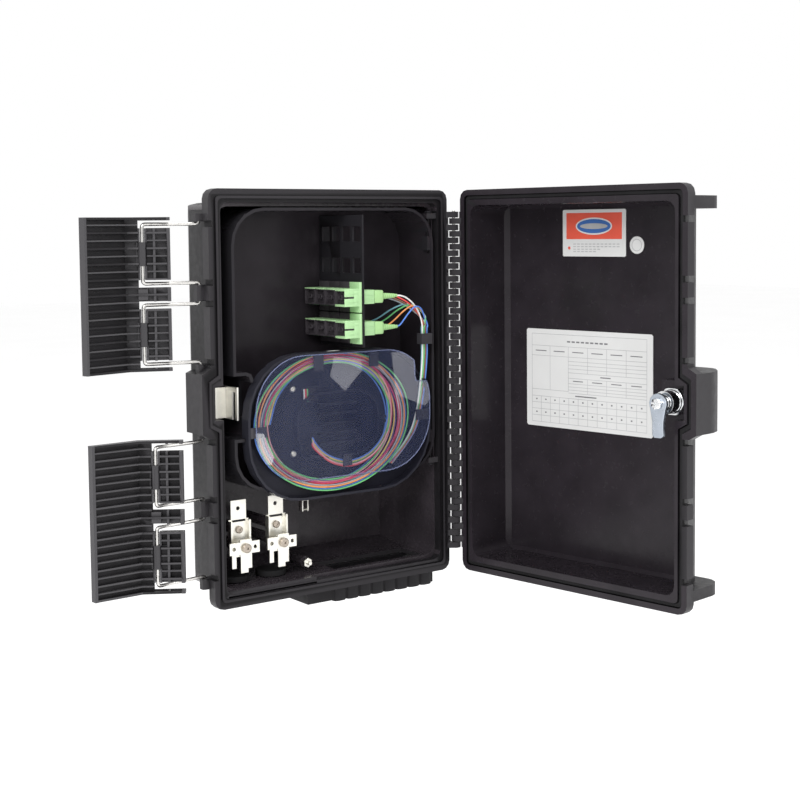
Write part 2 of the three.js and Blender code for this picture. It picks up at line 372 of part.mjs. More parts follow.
// directions of the hanging bails and levers in the XY plane at rest, degrees
const restBail = { upper: 169.2, lower: 188.8 };
const leverRest = { upper: 156.9, lower: 146.9 };
const bailGroup = new THREE.Group(); root.add(bailGroup);
for (const [tag, mid] of [['upper', LATCH_U], ['lower', LATCH_L]]) {
  const B = new THREE.Vector2(HINGE_X - BAIL.s, -BASE_D + BAIL.w);
  const g = new THREE.Group(); g.position.set(B.x, B.y, mid); g.rotation.z = rad(restBail[tag]); bailGroup.add(g);
  const L = BAIL_LEN;
  for (const [k, z1, z0] of [['a', BAIL.leg1, BAIL.leg0], ['b', -BAIL.leg0, -BAIL.leg1]]) {
    // upper pin, leg, cross bar, leg and lower pin of one bent wire
    const r = BAIL.r, [pu, pl] = k === 'a' ? [5.6, 4.2] : [4.2, 5.4];
    const bar = union(rod('z', r, [0, 0], z1 - r, z1 + pu, 8), rod('x', r, [0, z1], -r * 0.7, L + r * 0.7, 8), rod('z', r, [L, 0], z0 - r * 0.7, z1 + r * 0.7, 8), rod('x', r, [0, z0], -r * 0.7, L + r * 0.7, 8), rod('z', r, [0, 0], z0 - pl, z0 + r, 8));
    part(g, `wire_bail_${tag}_${k}`, bar, STEEL, 0.2, 1);
  }
  // lever in (a, b, z): a runs from the tip through the pivot to the grip, b outward from the ribs to the skin
  const Px = B.x + L * Math.cos(rad(restBail[tag])), Py = B.y + L * Math.sin(rad(restBail[tag]));
  const lg = new THREE.Group(); lg.position.set(Px, Py, mid); lg.rotation.z = rad(leverRest[tag]); bailGroup.add(lg);
  const { tip, bend, grip, bendAngle, out, inn } = LEVER;
  // lever profile: b negative is the skin side here after the turn, so the ribs look toward the open front
  const bd = rad(bendAngle), hb = bd / 2;
  const off = (d) => [bend + d * Math.tan(hb), d];                     // mitred corner at offset d
  const endAt = (d) => [bend + grip * Math.cos(bd) - d * -Math.sin(bd), -0 + 0];
  const pt = (along, d) => [bend + along * Math.cos(bd) - d * Math.sin(bd), along * Math.sin(bd) + d * Math.cos(bd)];
  const mitre = (d) => [bend - d * Math.tan(hb), d];
  const skin = [[-tip, -out], mitre(-out), pt(grip, -out), pt(grip, -out + 2.0), mitre(-out + 2.0), [-tip, -out + 2.0]];
  const ribFace = [[-tip + 2.4, -out + 1], mitre(-out + 1), pt(grip - 1, -out + 1), pt(grip - 1, inn - 1.6), mitre(inn), [-tip + 2.4, inn]];
  const ribFull = [[-tip, -out + 1], mitre(-out + 1), pt(grip, -out + 1), pt(grip, inn - 1.6), mitre(inn), [-tip, inn - 1]];
  const hh = LATCH_H / 2;
  let lever = prismZ(skin, -hh, hh);
  lever = union(lever, prismZ(ribFull, hh - 1.5, hh), prismZ(ribFull, -hh, -hh + 1.5));
  const nr = 10;
  for (let i = 1; i < nr; i++) { const z = -hh + i * LATCH_H / nr; lever = lever.add(prismZ(ribFace, z - 0.6, z + 0.6)); }
  // cross webs: bearing face at the tip, one between tip and pivot, end lip of the grip
  lever = union(lever, box(-tip, -tip + 2.4, -out, inn - 0.4, -hh, hh), box(-8.6, -7.0, -out, inn - 0.8, -hh, hh));
  lever = lever.add(prismZ([pt(grip - 2, -out), pt(grip, -out), pt(grip, inn - 1.2), pt(grip - 2, inn - 1.2)], -hh, hh));
  // slots for the four wires
  for (const zc of [BAIL.leg1, BAIL.leg0, -BAIL.leg0, -BAIL.leg1]) lever = lever.subtract(box(-tip - 1, 2.6, -8, 8, zc - 2.5, zc + 2.5));
  // windows round the two cross bars, and their bored barrels
  for (const s of [1, -1]) {
    const zb = s > 0 ? BAIL.leg0 : -BAIL.leg1, zt = s > 0 ? BAIL.leg1 : -BAIL.leg0;
    lever = lever.subtract(box(-2.8, 2.6, -8, 8, zb - 1, zt + 1));
    const zm = (zb + zt) / 2;
    lever = lever.add(cut(union(rod('z', 3.2, [0, 0], zm - 8, zm + 8, 10), box(-6.9, 4, -out, 0.4, zm - 8, zm + 8)), rod('z', 1.75, [0, 0], zm - 9, zm + 9, 8)));
  }
  for (const s of [-1, 1]) for (const zc of [0]) lever = lever.add(box(-3.2, 3.2, -out, inn - 1, zc - 3.6, zc + 3.6));
  lever = cut(lever, ...[1, -1].map((s) => { const zb = s > 0 ? BAIL.leg0 : -BAIL.leg1, zt = s > 0 ? BAIL.leg1 : -BAIL.leg0; return rod('z', 1.75, [0, 0], zb - 1.4, zt + 1.4, 8); }));
  part(lg, `latch_lever_${tag}`, lever, BLACK, 0.5);
}

export default root;
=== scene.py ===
# Wall-mounted fibre termination box, open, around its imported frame. Metres, +Z up.
import bpy, bmesh, math, random
from mathutils import Vector, Matrix


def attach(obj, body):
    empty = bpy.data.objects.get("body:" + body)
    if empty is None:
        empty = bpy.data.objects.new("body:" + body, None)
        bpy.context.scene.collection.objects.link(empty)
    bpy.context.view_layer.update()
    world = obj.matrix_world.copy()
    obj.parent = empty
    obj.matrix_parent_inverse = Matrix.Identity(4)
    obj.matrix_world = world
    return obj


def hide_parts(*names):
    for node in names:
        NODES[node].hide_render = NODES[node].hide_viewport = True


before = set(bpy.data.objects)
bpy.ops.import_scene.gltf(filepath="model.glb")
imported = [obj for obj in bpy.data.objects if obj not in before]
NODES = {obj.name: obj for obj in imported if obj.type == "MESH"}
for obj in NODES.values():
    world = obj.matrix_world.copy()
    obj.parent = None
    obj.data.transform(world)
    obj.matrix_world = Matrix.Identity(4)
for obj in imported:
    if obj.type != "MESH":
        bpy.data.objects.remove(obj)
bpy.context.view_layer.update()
random.seed(11)

MM = 0.001
HX, HY = 108.2, -66.0
OPEN = math.radians(278.84)
DS = Vector((math.cos(OPEN), math.sin(OPEN)))
DW = Vector((-math.sin(OPEN), math.cos(OPEN)))
B2 = Vector((108.2 - 211.8, -66 + 11.7))
BL = 39.27
BAIL_A = {"upper": math.radians(169.2), "lower": math.radians(188.8)}
PIVOT = {t: B2 + BL * Vector((math.cos(a), math.sin(a))) for t, a in BAIL_A.items()}
LEVER_A = {"upper": math.radians(156.9), "lower": math.radians(146.9)}
MIDS = {"upper": 74.0, "lower": -75.0}
LEG1, LEG0 = 47.1, 7.2
LATCH_H = 103.6
CLAMPS = {"left": -73.0, "right": -42.4}


def W(x, w, z):
    """base frame: x, depth from the hinge plane, height, in mm"""
    return Vector((x, HY + w, z)) * MM


def D(s, w, z):
    """door frame: distance from the hinge, depth behind the rim, height, in mm"""
    return Vector((HX + s * DS.x + w * DW.x, HY + s * DS.y + w * DW.y, z)) * MM


# ------------------------------------------------------------------ materials
def new_mat(name):
    m = bpy.data.materials.new(name)
    m.use_nodes = True
    nt = m.node_tree
    b = nt.nodes["Principled BSDF"]
    return m, nt, b


def coords(nt, scale=1.0):
    tc = nt.nodes.new("ShaderNodeTexCoord")
    mp = nt.nodes.new("ShaderNodeMapping")
    mp.inputs["Scale"].default_value = (scale, scale, scale) if not isinstance(scale, tuple) else scale
    nt.links.new(tc.outputs["Object"], mp.inputs["Vector"])
    return mp.outputs["Vector"]


def noise(nt, vec, scale, detail=3.0, rough=0.5):
    n = nt.nodes.new("ShaderNodeTexNoise")
    n.inputs["Scale"].default_value = scale
    n.inputs["Detail"].default_value = detail
    n.inputs["Roughness"].default_value = rough
    nt.links.new(vec, n.inputs["Vector"])
    return n.outputs["Fac"]


def ramp(nt, fac, stops):
    r = nt.nodes.new("ShaderNodeValToRGB")
    e = r.color_ramp.elements
    while len(e) < len(stops):
        e.new(0.5)
    for el, (pos, col) in zip(e, stops):
        el.position = pos
        el.color = (*col, 1) if len(col) == 3 else col
    nt.links.new(fac, r.inputs["Fac"])
    return r.outputs["Color"]


def remap(nt, fac, a, b):
    m = nt.nodes.new("ShaderNodeMapRange")
    m.inputs["From Min"].default_value = 0.3
    m.inputs["From Max"].default_value = 0.7
    m.inputs["To Min"].default_value = a
    m.inputs["To Max"].default_value = b
    nt.links.new(fac, m.inputs["Value"])
    return m.outputs["Result"]


def bump(nt, height, strength, dist, chain=None):
    b = nt.nodes.new("ShaderNodeBump")
    b.inputs["Strength"].default_value = strength
    b.inputs["Distance"].default_value = dist
    nt.links.new(height, b.inputs["Height"])
    if chain is not None:
        nt.links.new(chain, b.inputs["Normal"])
    return b.outputs["Normal"]


def plastic(name, col, rough, grain=2400.0, gs=0.25, gd=0.00008, var=0.25, rvar=0.08, wear_and_edge_highlight=None, spec=0.5, coat=0.0, wave=0.0):
    m, nt, b = new_mat(name)
    v = coords(nt)
    big = noise(nt, v, 38.0, 4.0, 0.55)
    fine = noise(nt, v, grain, 2.0, 0.6)
    lo = tuple(c * (1 - var) for c in col)
    hi = tuple(min(1, c * (1 + var)) for c in col)
    c = ramp(nt, big, [(0.35, lo), (0.65, hi)])
    # convex edges found by pointiness take the edge tone, mostly lighter: partly edge wear, partly painted highlight
    # along the edges
    if wear_and_edge_highlight:
        g = nt.nodes.new("ShaderNodeNewGeometry")
        w = ramp(nt, g.outputs["Pointiness"], [(0.505, (0, 0, 0)), (0.56, (1, 1, 1))])
        mx = nt.nodes.new("ShaderNodeMix"); mx.data_type = "RGBA"
        nt.links.new(w, mx.inputs["Factor"])
        nt.links.new(c, mx.inputs["A"])
        mx.inputs["B"].default_value = (*wear_and_edge_highlight, 1)
        c = mx.outputs["Result"]
    nt.links.new(c, b.inputs["Base Color"])
    mid = noise(nt, v, 210.0, 3.0, 0.6)
    nt.links.new(remap(nt, mid, rough - rvar, rough + rvar), b.inputs["Roughness"])
    n = None
    if wave:
        n = bump(nt, noise(nt, v, 26.0, 2.0, 0.5), wave, 0.0011)
    if gs:
        n = bump(nt, fine, gs, gd, n)
    if n:
        nt.links.new(n, b.inputs["Normal"])
    b.inputs["Specular IOR Level"].default_value = spec
    if coat:
        b.inputs["Coat Weight"].default_value = coat
        b.inputs["Coat Roughness"].default_value = 0.06
    return m


def metal(name, col, rough, brush=(60, 60, 2200), bs=0.12, var=0.12, tarnish=None):
    m, nt, b = new_mat(name)
    v = coords(nt, brush)
    st = noise(nt, v, 1.0, 3.0, 0.6)
    v2 = coords(nt)
    bl = noise(nt, v2, 150.0, 3.0, 0.6)
    lo = tarnish or tuple(c * (1 - var) for c in col)
    nt.links.new(ramp(nt, bl, [(0.32, lo), (0.6, col)]), b.inputs["Base Color"])
    nt.links.new(remap(nt, st, max(0.04, rough - 0.07), rough + 0.09), b.inputs["Roughness"])
    nt.links.new(bump(nt, st, bs, 0.00004), b.inputs["Normal"])
    b.inputs["Metallic"].default_value = 1.0
    return m


M = {}
M["case"] = plastic("case_satin", (0.0130, 0.0120, 0.0136), 0.46, 2600, 0.5, 0.00010, 0.2, 0.06, wear_and_edge_highlight=(0.031, 0.029, 0.032), spec=0.22)
# rim: a darker copy of the case plastic for the front faces, painted shade
M["rim"] = plastic("rim_satin_painted_shade", (0.0060, 0.0054, 0.0064), 0.36, 2600, 0.30, 0.00008, 0.2, 0.06, wear_and_edge_highlight=(0.026, 0.024, 0.027), spec=0.16)
# walls and inside: lighter copies of the case plastic for the faces inside base and door, painted light against the
# shade in the box
M["walls"] = plastic("wall_gloss_painted_light", (0.0380, 0.0320, 0.0375), 0.26, 1500, 0.08, 0.00003, 0.2, 0.05, spec=0.30, wave=0.06)
M["inside"] = plastic("inside_gloss_painted_light", (0.0215, 0.0178, 0.0218), 0.24, 1500, 0.08, 0.00003, 0.15, 0.05, spec=0.20, wave=0.06)
M["tray"] = plastic("tray_gloss", (0.0225, 0.0190, 0.0228), 0.22, 1500, 0.08, 0.00003, 0.15, 0.05, wear_and_edge_highlight=(0.020, 0.019, 0.022), spec=0.14, wave=0.05)
M["dish"] = plastic("dish_gloss", (0.0135, 0.0135, 0.0205), 0.30, 1500, 0.0, 0.00002, 0.2, 0.03, wear_and_edge_highlight=(0.026, 0.026, 0.034), spec=0.14)
M["lever"] = plastic("lever_satin", (0.0135, 0.0125, 0.0142), 0.42, 2600, 0.4, 0.00008, 0.22, 0.06, wear_and_edge_highlight=(0.060, 0.058, 0.062), spec=0.20)
M["rubber"] = plastic("rubber_matte", (0.0165, 0.0160, 0.0170), 0.78, 3200, 0.5, 0.0001, 0.2, 0.06, spec=0.15)
M["bracket"] = plastic("bracket_satin", (0.0080, 0.0070, 0.0082), 0.40, 1800, 0.25, 0.00006, 0.2, 0.05, wear_and_edge_highlight=(0.018, 0.017, 0.020), spec=0.12)
M["tab"] = plastic("tab_satin", (0.042, 0.040, 0.046), 0.40, 1800, 0.25, 0.00006, 0.15, 0.05, spec=0.3)
M["comb"] = plastic("port_rubber", (0.0100, 0.0090, 0.0104), 0.55, 2800, 0.4, 0.00008, 0.2, 0.06, wear_and_edge_highlight=(0.018, 0.017, 0.019), spec=0.16)
M["green"] = plastic("adapter_green", (0.27, 0.54, 0.20), 0.38, 2400, 0.15, 0.00005, 0.06, 0.05, wear_and_edge_highlight=(0.40, 0.64, 0.33), spec=0.35)
M["green2"] = plastic("connector_green", (0.27, 0.52, 0.17), 0.42, 2400, 0.15, 0.00005, 0.06, 0.05, wear_and_edge_highlight=(0.38, 0.62, 0.28), spec=0.35)
# dark green and dark grey for the rear adapters, the adapter cores and sleeves: painted shade
M["green_dark"] = plastic("adapter_shadow_green", (0.040, 0.085, 0.042), 0.5, 2400, 0.15, 0.00005, 0.10, 0.05)
M["hollow"] = plastic("adapter_dark_core", (0.0480, 0.0420, 0.0480), 0.5, 2400, 0.15, 0.00005, 0.2, 0.05, spec=0.15)
M["nickel"] = metal("nickel_plate", (0.93, 0.91, 0.84), 0.36, (70, 70, 260), 0.03, 0.08)
M["brass"] = metal("screw_plate_worn", (0.46, 0.40, 0.34), 0.34, (90, 90, 200), 0.04, 0.12)
M["steel"] = metal("steel_wire", (0.70, 0.685, 0.66), 0.28, (260, 260, 90), 0.06, 0.1)
M["chrome"] = metal("chrome_plate", (0.80, 0.81, 0.82), 0.12, (90, 90, 90), 0.04, 0.06)
M["zinc"] = metal("zinc_plate", (0.52, 0.57, 0.64), 0.30, (300, 300, 120), 0.06, 0.12)
M["paper"] = plastic("card_film", (0.665, 0.665, 0.66), 0.45, 1800, 0.12, 0.00003, 0.02, 0.05, spec=0.3)
M["ink"] = plastic("table_ink", (0.16, 0.16, 0.17), 0.5, 1800, 0.1, 0.00003, 0.1, 0.05)
M["inksoft"] = plastic("table_ink_pale", (0.40, 0.40, 0.41), 0.5, 1800, 0.1, 0.00003, 0.1, 0.05)
M["red"] = plastic("label_red", (0.74, 0.105, 0.065), 0.42, 1800, 0.12, 0.00003, 0.05, 0.05, spec=0.3)
M["blue"] = plastic("label_blue", (0.05, 0.14, 0.40), 0.42, 1800, 0.12, 0.00003, 0.06, 0.05, spec=0.3)
FIB = {
    "f_blue": (0.10, 0.24, 0.72), "f_orange": (0.86, 0.33, 0.10), "f_green": (0.16, 0.56, 0.20), "f_brown": (0.26, 0.11, 0.06),
    "f_grey": (0.42, 0.45, 0.50), "f_white": (0.86, 0.86, 0.84), "f_red": (0.76, 0.07, 0.07), "f_yellow": (0.86, 0.66, 0.16),
    "f_pink": (0.84, 0.42, 0.44), "f_violet": (0.30, 0.16, 0.50), "f_aqua": (0.30, 0.62, 0.74), "f_magenta": (0.52, 0.05, 0.16),
}
for k, c in FIB.items():
    M[k] = plastic("jacket_" + k[2:], c, 0.3, 3000, 0.10, 0.00002, 0.08, 0.05, spec=0.55)


def clear_film(name, lo, hi, alpha, rough=0.09, spec=0.28):
    m, nt, b = new_mat(name)
    v = coords(nt)
    big = noise(nt, v, 30.0, 3.0, 0.5)
    nt.links.new(ramp(nt, big, [(0.3, lo), (0.7, hi)]), b.inputs["Base Color"])
    nt.links.new(remap(nt, noise(nt, v, 60.0, 3.0, 0.5), rough - 0.03, rough + 0.04), b.inputs["Roughness"])
    nt.links.new(bump(nt, noise(nt, v, 9.0, 1.0, 0.4), 0.10, 0.0010), b.inputs["Normal"])
    b.inputs["Alpha"].default_value = alpha
    b.inputs["Specular IOR Level"].default_value = spec
    return m


# the next two films are lighter and less clear, laid on zones where reflections fall: painted reflection
M["frost"] = clear_film("frosted_film", (0.40, 0.41, 0.50), (0.52, 0.53, 0.62), 0.17, 0.35)
M["haze"] = clear_film("hazed_film", (0.62, 0.64, 0.70), (0.74, 0.76, 0.82), 0.24, 0.35)
M["edge"] = clear_film("cover_edge", (0.16, 0.19, 0.34), (0.24, 0.27, 0.44), 0.55, 0.2)
M["clear"] = clear_film("clear_cover", (0.045, 0.055, 0.115), (0.065, 0.078, 0.150), 0.20)


# ------------------------------------------------------------------ mesh helpers
def obj_from_bm(name, bm, mats, smooth=30.0):
    me = bpy.data.meshes.new(name)
    bm.normal_update()
    bm.to_mesh(me); bm.free()
    ob = bpy.data.objects.new(name, me)
    bpy.context.scene.collection.objects.link(ob)
    for m in mats:
        me.materials.append(m)
    shade(ob, smooth)
    return ob


def shade(ob, angle=30.0):
    me = ob.data
    for p in me.polygons:
        p.use_smooth = True
    bm = bmesh.new(); bm.from_mesh(me)
    lim = math.radians(angle)
    for e in bm.edges:
        e.smooth = len(e.link_faces) == 2 and e.calc_face_angle(0.0) < lim
    bm.to_mesh(me); bm.free()


def apply_mods(ob):
    dg = bpy.context.evaluated_depsgraph_get()
    me = bpy.data.meshes.new_from_object(ob.evaluated_get(dg))
    old = ob.data
    ob.modifiers.clear()
    ob.data = me
    bpy.data.meshes.remove(old)


def bevel(ob, width, segs=2, angle=35.0, profile=0.5):
    md = ob.modifiers.new("edge", "BEVEL")
    md.width = width * MM
    md.segments = segs
    md.limit_method = "ANGLE"
    md.angle_limit = math.radians(angle)
    md.profile = profile
    md.use_clamp_overlap = True
    md.miter_outer = "MITER_SHARP"
    apply_mods(ob)


def copy_node(node, name, mats, width=0.35, segs=2, classify=None, smooth=40.0, dissolve=True, angle=32.0):
    """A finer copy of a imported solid: merged, flat faces joined, edges rounded, materials by place."""
    me = NODES[node].data.copy()
    me.materials.clear()
    for m in mats:
        me.materials.append(m)
    bm = bmesh.new(); bm.from_mesh(me)
    bmesh.ops.remove_doubles(bm, verts=bm.verts, dist=2e-6)
    for f in bm.faces:
        f.material_index = 0
    if dissolve:
        bmesh.ops.dissolve_limit(bm, angle_limit=0.012, use_dissolve_boundaries=False, verts=bm.verts, edges=bm.edges, delimit={"NORMAL"})
    bm.normal_update()
    bm.to_mesh(me); bm.free()
    ob = bpy.data.objects.new(name, me)
    bpy.context.scene.collection.objects.link(ob)
    if width:
        bevel(ob, width, segs, angle)
    if classify:
        for p in ob.data.polygons:
            p.material_index = classify(p.center / MM, p.normal)
    shade(ob, smooth)
    # large flat faces keep their own direction, only the rounded edges turn
    wn = ob.modifiers.new("flat_first", "WEIGHTED_NORMAL")
    wn.weight = 80
    wn.keep_sharp = True
    apply_mods(ob)
    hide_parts(node)
    return ob


def prism(bm, pts, lo, hi, frame_fn, mat=0):
    """pts are (p, q); frame_fn(p, q, t) gives the place; t runs lo to hi"""
    a = [bm.verts.new(frame_fn(p, q, lo)) for p, q in pts]
    b = [bm.verts.new(frame_fn(p, q, hi)) for p, q in pts]
    n = len(pts)
    fs = [bm.faces.new(a), bm.faces.new(list(reversed(b)))]
    for i in range(n):
        fs.append(bm.faces.new([a[(i + 1) % n], a[i], b[i], b[(i + 1) % n]]))
    for f in fs:
        f.material_index = mat
    return fs


def box_bm(bm, x0, x1, y0, y1, z0, z1, fn, mat=0):
    return prism(bm, [(x0, y0), (x1, y0), (x1, y1), (x0, y1)], z0, z1, fn, mat)


def fix_normals(bm):
    bmesh.ops.recalc_face_normals(bm, faces=bm.faces)


def lathe(bm, prof, centre, axis, n=32, mat=0):
    """closed solid of revolution; prof is [(radius, along)] from one axis point to the other"""
    ax = Vector(axis).normalized()
    u = ax.orthogonal().normalized(); v = ax.cross(u)
    c = Vector(centre)
    rings = []
    for r, t in prof:
        if r < 1e-6:
            rings.append([bm.verts.new(c + ax * t * MM)])
        else:
            rings.append([bm.verts.new(c + (ax * t + (u * math.cos(2 * math.pi * i / n) + v * math.sin(2 * math.pi * i / n)) * r) * MM) for i in range(n)])
    for a, b in zip(rings, rings[1:]):
        for i in range(n):
            j = (i + 1) % n
            if len(a) == 1 and len(b) == 1:
                continue
            if len(a) == 1:
                f = bm.faces.new([a[0], b[j], b[i]])
            elif len(b) == 1:
                f = bm.faces.new([a[i], a[j], b[0]])
            else:
                f = bm.faces.new([a[i], a[j], b[j], b[i]])
            f.material_index = mat
    return rings


def catmull(pts, sub, closed=False):
    pts = [Vector(p) for p in pts]
    out = []
    n = len(pts)
    rng = range(n) if closed else range(n - 1)
    for i in rng:
        p0 = pts[(i - 1) % n] if closed or i > 0 else pts[0] * 2 - pts[1]
        p1 = pts[i]; p2 = pts[(i + 1) % n]
        p3 = pts[(i + 2) % n] if closed or i + 2 < n else pts[-1] * 2 - pts[-2]
        for k in range(sub):
            t = k / sub
            out.append(0.5 * ((2 * p1) + (-p0 + p2) * t + (2 * p0 - 5 * p1 + 4 * p2 - p3) * t * t + (-p0 + 3 * p1 - 3 * p2 + p3) * t ** 3))
    if not closed:
        out.append(pts[-1])
    return out


def sweep(bm, path, r, n=8, closed=False, mat=0, radii=None, cap=True):
    """round tube along path, parallel-transported"""
    path = [Vector(p) for p in path]
    m = len(path)
    t0 = (path[1] - path[0]).normalized()
    u = t0.orthogonal().normalized()
    rings = []
    prev = t0
    for i, p in enumerate(path):
        if closed:
            t = (path[(i + 1) % m] - path[i - 1]).normalized()
        elif i == 0:
            t = (path[1] - path[0]).normalized()
        elif i == m - 1:
            t = (path[-1] - path[-2]).normalized()
        else:
            t = (path[i + 1] - path[i - 1]).normalized()
        q = prev.rotation_difference(t)
        u = (q @ u).normalized(); prev = t
        v = t.cross(u)
        rr = (radii[i] if radii else r) * MM
        rings.append([bm.verts.new(p + (u * math.cos(2 * math.pi * k / n) + v * math.sin(2 * math.pi * k / n)) * rr) for k in range(n)])
    cnt = m if closed else m - 1
    off = 0
    if closed:
        # twist left over at the seam, taken up by the nearest vertex match
        best = min(range(n), key=lambda o: sum((rings[-1][k].co - rings[0][(k + o) % n].co).length for k in range(n)))
        off = best
    for i in range(cnt):
        a = rings[i]; b = rings[(i + 1) % m]
        o = off if closed and i == m - 1 else 0
        for k in range(n):
            f = bm.faces.new([a[k], a[(k + 1) % n], b[(k + 1 + o) % n], b[(k + o) % n]])
            f.material_index = mat
    if cap and not closed:
        f = bm.faces.new(list(reversed(rings[0]))); f.material_index = mat
        f = bm.faces.new(rings[-1]); f.material_index = mat
    return rings


def join(name, obs):
    """joins pieces into the first, keeping materials"""
    bpy.ops.object.select_all(action="DESELECT")
    for o in obs:
        o.select_set(True)
    bpy.context.view_layer.objects.active = obs[0]
    bpy.ops.object.join()
    obs[0].name = name
    return obs[0]


# ------------------------------------------------------------------ camera, stage, lights
def build_camera():
    cd = bpy.data.cameras.new("camera")
    cam = bpy.data.objects.new("camera", cd)
    bpy.context.scene.collection.objects.link(cam)
    pos = Vector((-0.5776, -0.9397, 0.1167))
    fwd_h = Vector((0.5875, 0.8092, 0)).normalized()
    p = 0.0692
    fwd = (fwd_h * math.cos(p) + Vector((0, 0, -1)) * math.sin(p)).normalized()
    right = Vector((fwd_h.y, -fwd_h.x, 0)).normalized()
    up = right.cross(fwd)
    r = ROLL
    right2 = right * math.cos(r) + up * math.sin(r)
    up2 = -right * math.sin(r) + up * math.cos(r)
    mat = Matrix((right2, up2, -fwd)).transposed().to_4x4()
    mat.translation = pos
    cam.matrix_world = mat
    cd.sensor_width = 36.0
    cd.lens = 1457.75 / 800 * 36.0
    cd.shift_x = (400 - 399.9) / 800
    cd.shift_y = -(400 - 329.3) / 800
    cd.clip_start = 0.01
    cd.clip_end = 50
    bpy.context.scene.camera = cam
    return cam


ROLL = -0.0103
build_camera()


def build_stage():
    bm = bmesh.new()
    z = -0.40
    # flat floor sheet, wide enough to reach the horizon
    n = 24
    rows = []
    for i in range(n + 1):
        row = []
        for j in range(n + 1):
            x = -9 + 18 * i / n; y = -9 + 18 * j / n
            row.append(bm.verts.new((x, y, z)))
        rows.append(row)
    for i in range(n):
        for j in range(n):
            bm.faces.new([rows[i][j], rows[i + 1][j], rows[i + 1][j + 1], rows[i][j + 1]])
    m, nt, b = new_mat("floor_pale")
    v = coords(nt)
    nt.links.new(ramp(nt, noise(nt, v, 3.0, 4.0, 0.5), [(0.3, (0.975, 0.975, 0.975)), (0.7, (0.99, 0.99, 0.99))]), b.inputs["Base Color"])
    b.inputs["Roughness"].default_value = 0.9
    b.inputs["Specular IOR Level"].default_value = 0.1
    fl = obj_from_bm("floor", bm, [m])


build_stage()


def area(name, loc, target, size, power, color=(1, 1, 1), size_y=None):
    ld = bpy.data.lights.new(name, "AREA")
    ld.energy = power
    ld.color = color
    ld.size = size
    if size_y:
        ld.shape = "RECTANGLE"; ld.size_y = size_y
    ob = bpy.data.objects.new(name, ld)
    bpy.context.scene.collection.objects.link(ob)
    ob.location = loc
    d = (Vector(target) - Vector(loc)).normalized()
    ob.rotation_euler = d.to_track_quat("-Z", "Y").to_euler()
    return ob


world = bpy.data.worlds.new("studio")
bpy.context.scene.world = world
world.use_nodes = True
bg = world.node_tree.nodes["Background"]
bg.inputs["Color"].default_value = (1, 1, 1, 1)
bg.inputs["Strength"].default_value = 1.0
bpy.context.scene.view_settings.view_transform = "Standard"
area("key_light", (-1.7, -1.3, 1.3), (0, -0.05, 0), 1.1, 26)
area("fill_light", (1.4, -1.9, 0.9), (0.05, -0.1, 0), 1.2, 12)
area("top_light", (0.1, -0.5, 1.9), (0, -0.05, 0), 1.2, 12)


# ------------------------------------------------------------------ shells
def in_base(c):
    return -92.6 < c.x < 92.4 and c.y - HY > 2.2 and c.y - HY < 63.3 and abs(c.z) < 133.5


# front faces take the darker rim copy (painted shade), faces inside the box the lighter wall copy (painted light)
def base_class(c, n):
    w = c.y - HY
    if w < 1.6:
        return 2
    if in_base(c):
        return 1
    return 0


def to_door(c):
    dx, dy = c.x - HX, c.y - HY
    return dx * DS.x + dy * DS.y, dx * DW.x + dy * DW.y


# front faces take the darker rim copy (painted shade), faces inside the door the lighter inside copy (painted light)
def door_class(c, n):
    s, w = to_door(c)
    if w < 4.6 and not (17 < s < 200 and abs(c.z) < 132.5):
        return 2
    if 16.2 < s < 200.6 and w < 42.8 and abs(c.z) < 133.5:
        return 1
    return 0


case = copy_node("base_shell", "base_case", [M["case"], M["walls"], M["rim"]], 0.45, 2, base_class)
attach(case, "base")
door = copy_node("door_shell", "door_case", [M["case"], M["inside"], M["rim"]], 0.45, 2, door_class)
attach(door, "door")
def hinge_web(name, body, fn):
    """cradle that runs behind the knuckles of one half, clear of the other half's eyes and webs"""
    bm = bmesh.new()
    arc = [(2.54, 3.26), (2.95, 3.0), (6.3, 0.76)]
    prism(bm, [(7.0, 0.72), (7.0, 3.9)] + arc, -128.8, 128.8, fn)
    fix_normals(bm)
    ob = obj_from_bm(name, bm, [M["walls"]], 30)
    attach(ob, body)


hinge_web("hinge_web_base", "base", lambda s, w, z: Vector((HX - s, HY + w, z)) * MM)
hinge_web("hinge_web_door", "door", lambda s, w, z: D(s, w, z))
tray = copy_node("swing_tray", "tray_pan", [M["tray"]], 0.5, 2)
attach(tray, "tray")

for node, body, mat, wd, slot in [
    ("hinge_pin", "base", "steel", 0.3, "steel"), ("strike_plate", "base", "nickel", 0.25, "nickel"), ("earth_stud", "base", "nickel", 0.2, "nickel"),
    ("clamp_bracket_left", "base", "nickel", 0.22, "nickel"), ("clamp_bracket_right", "base", "nickel", 0.22, "nickel"),
    ("clamp_plate_left", "base", "nickel", 0.25, "nickel"), ("clamp_plate_right", "base", "nickel", 0.25, "nickel"),
    ("cable_grommet_left", "base", "rubber", 0.5, "black_rubber"), ("cable_grommet_right", "base", "rubber", 0.5, "black_rubber"),
    ("drop_port_comb", "base", "comb", 0.6, "black_plastic"), ("tray_pin_upper", "base", "bracket", 0.25, "steel"), ("tray_pin_lower", "base", "bracket", 0.25, "steel"),
    ("adapter_bracket", "tray", "bracket", 0.25, "black_plastic"), ("fiber_clip", "tray", "tab", 0.3, "black_plastic"),
    ("door_seal", "door", "rubber", 0.6, "black_rubber"), ("lock_barrel", "door", "chrome", 0.3, "chrome"),
    ("lock_plug", "lock_core", "chrome", 0.3, "chrome"), ("lock_cam", "lock_core", "zinc", 0.5, "zinc"),
]:
    o = copy_node(node, node + "_piece", [M[mat]], wd, 2)
    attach(o, body)


TABS = [(-74, -60, -28, -20.6), (70, 81.1, -27, -19), (4, 11.6, -55, -46.4), (-20, -12, 16, 27.1), (28, 36, 16, 27.1)]


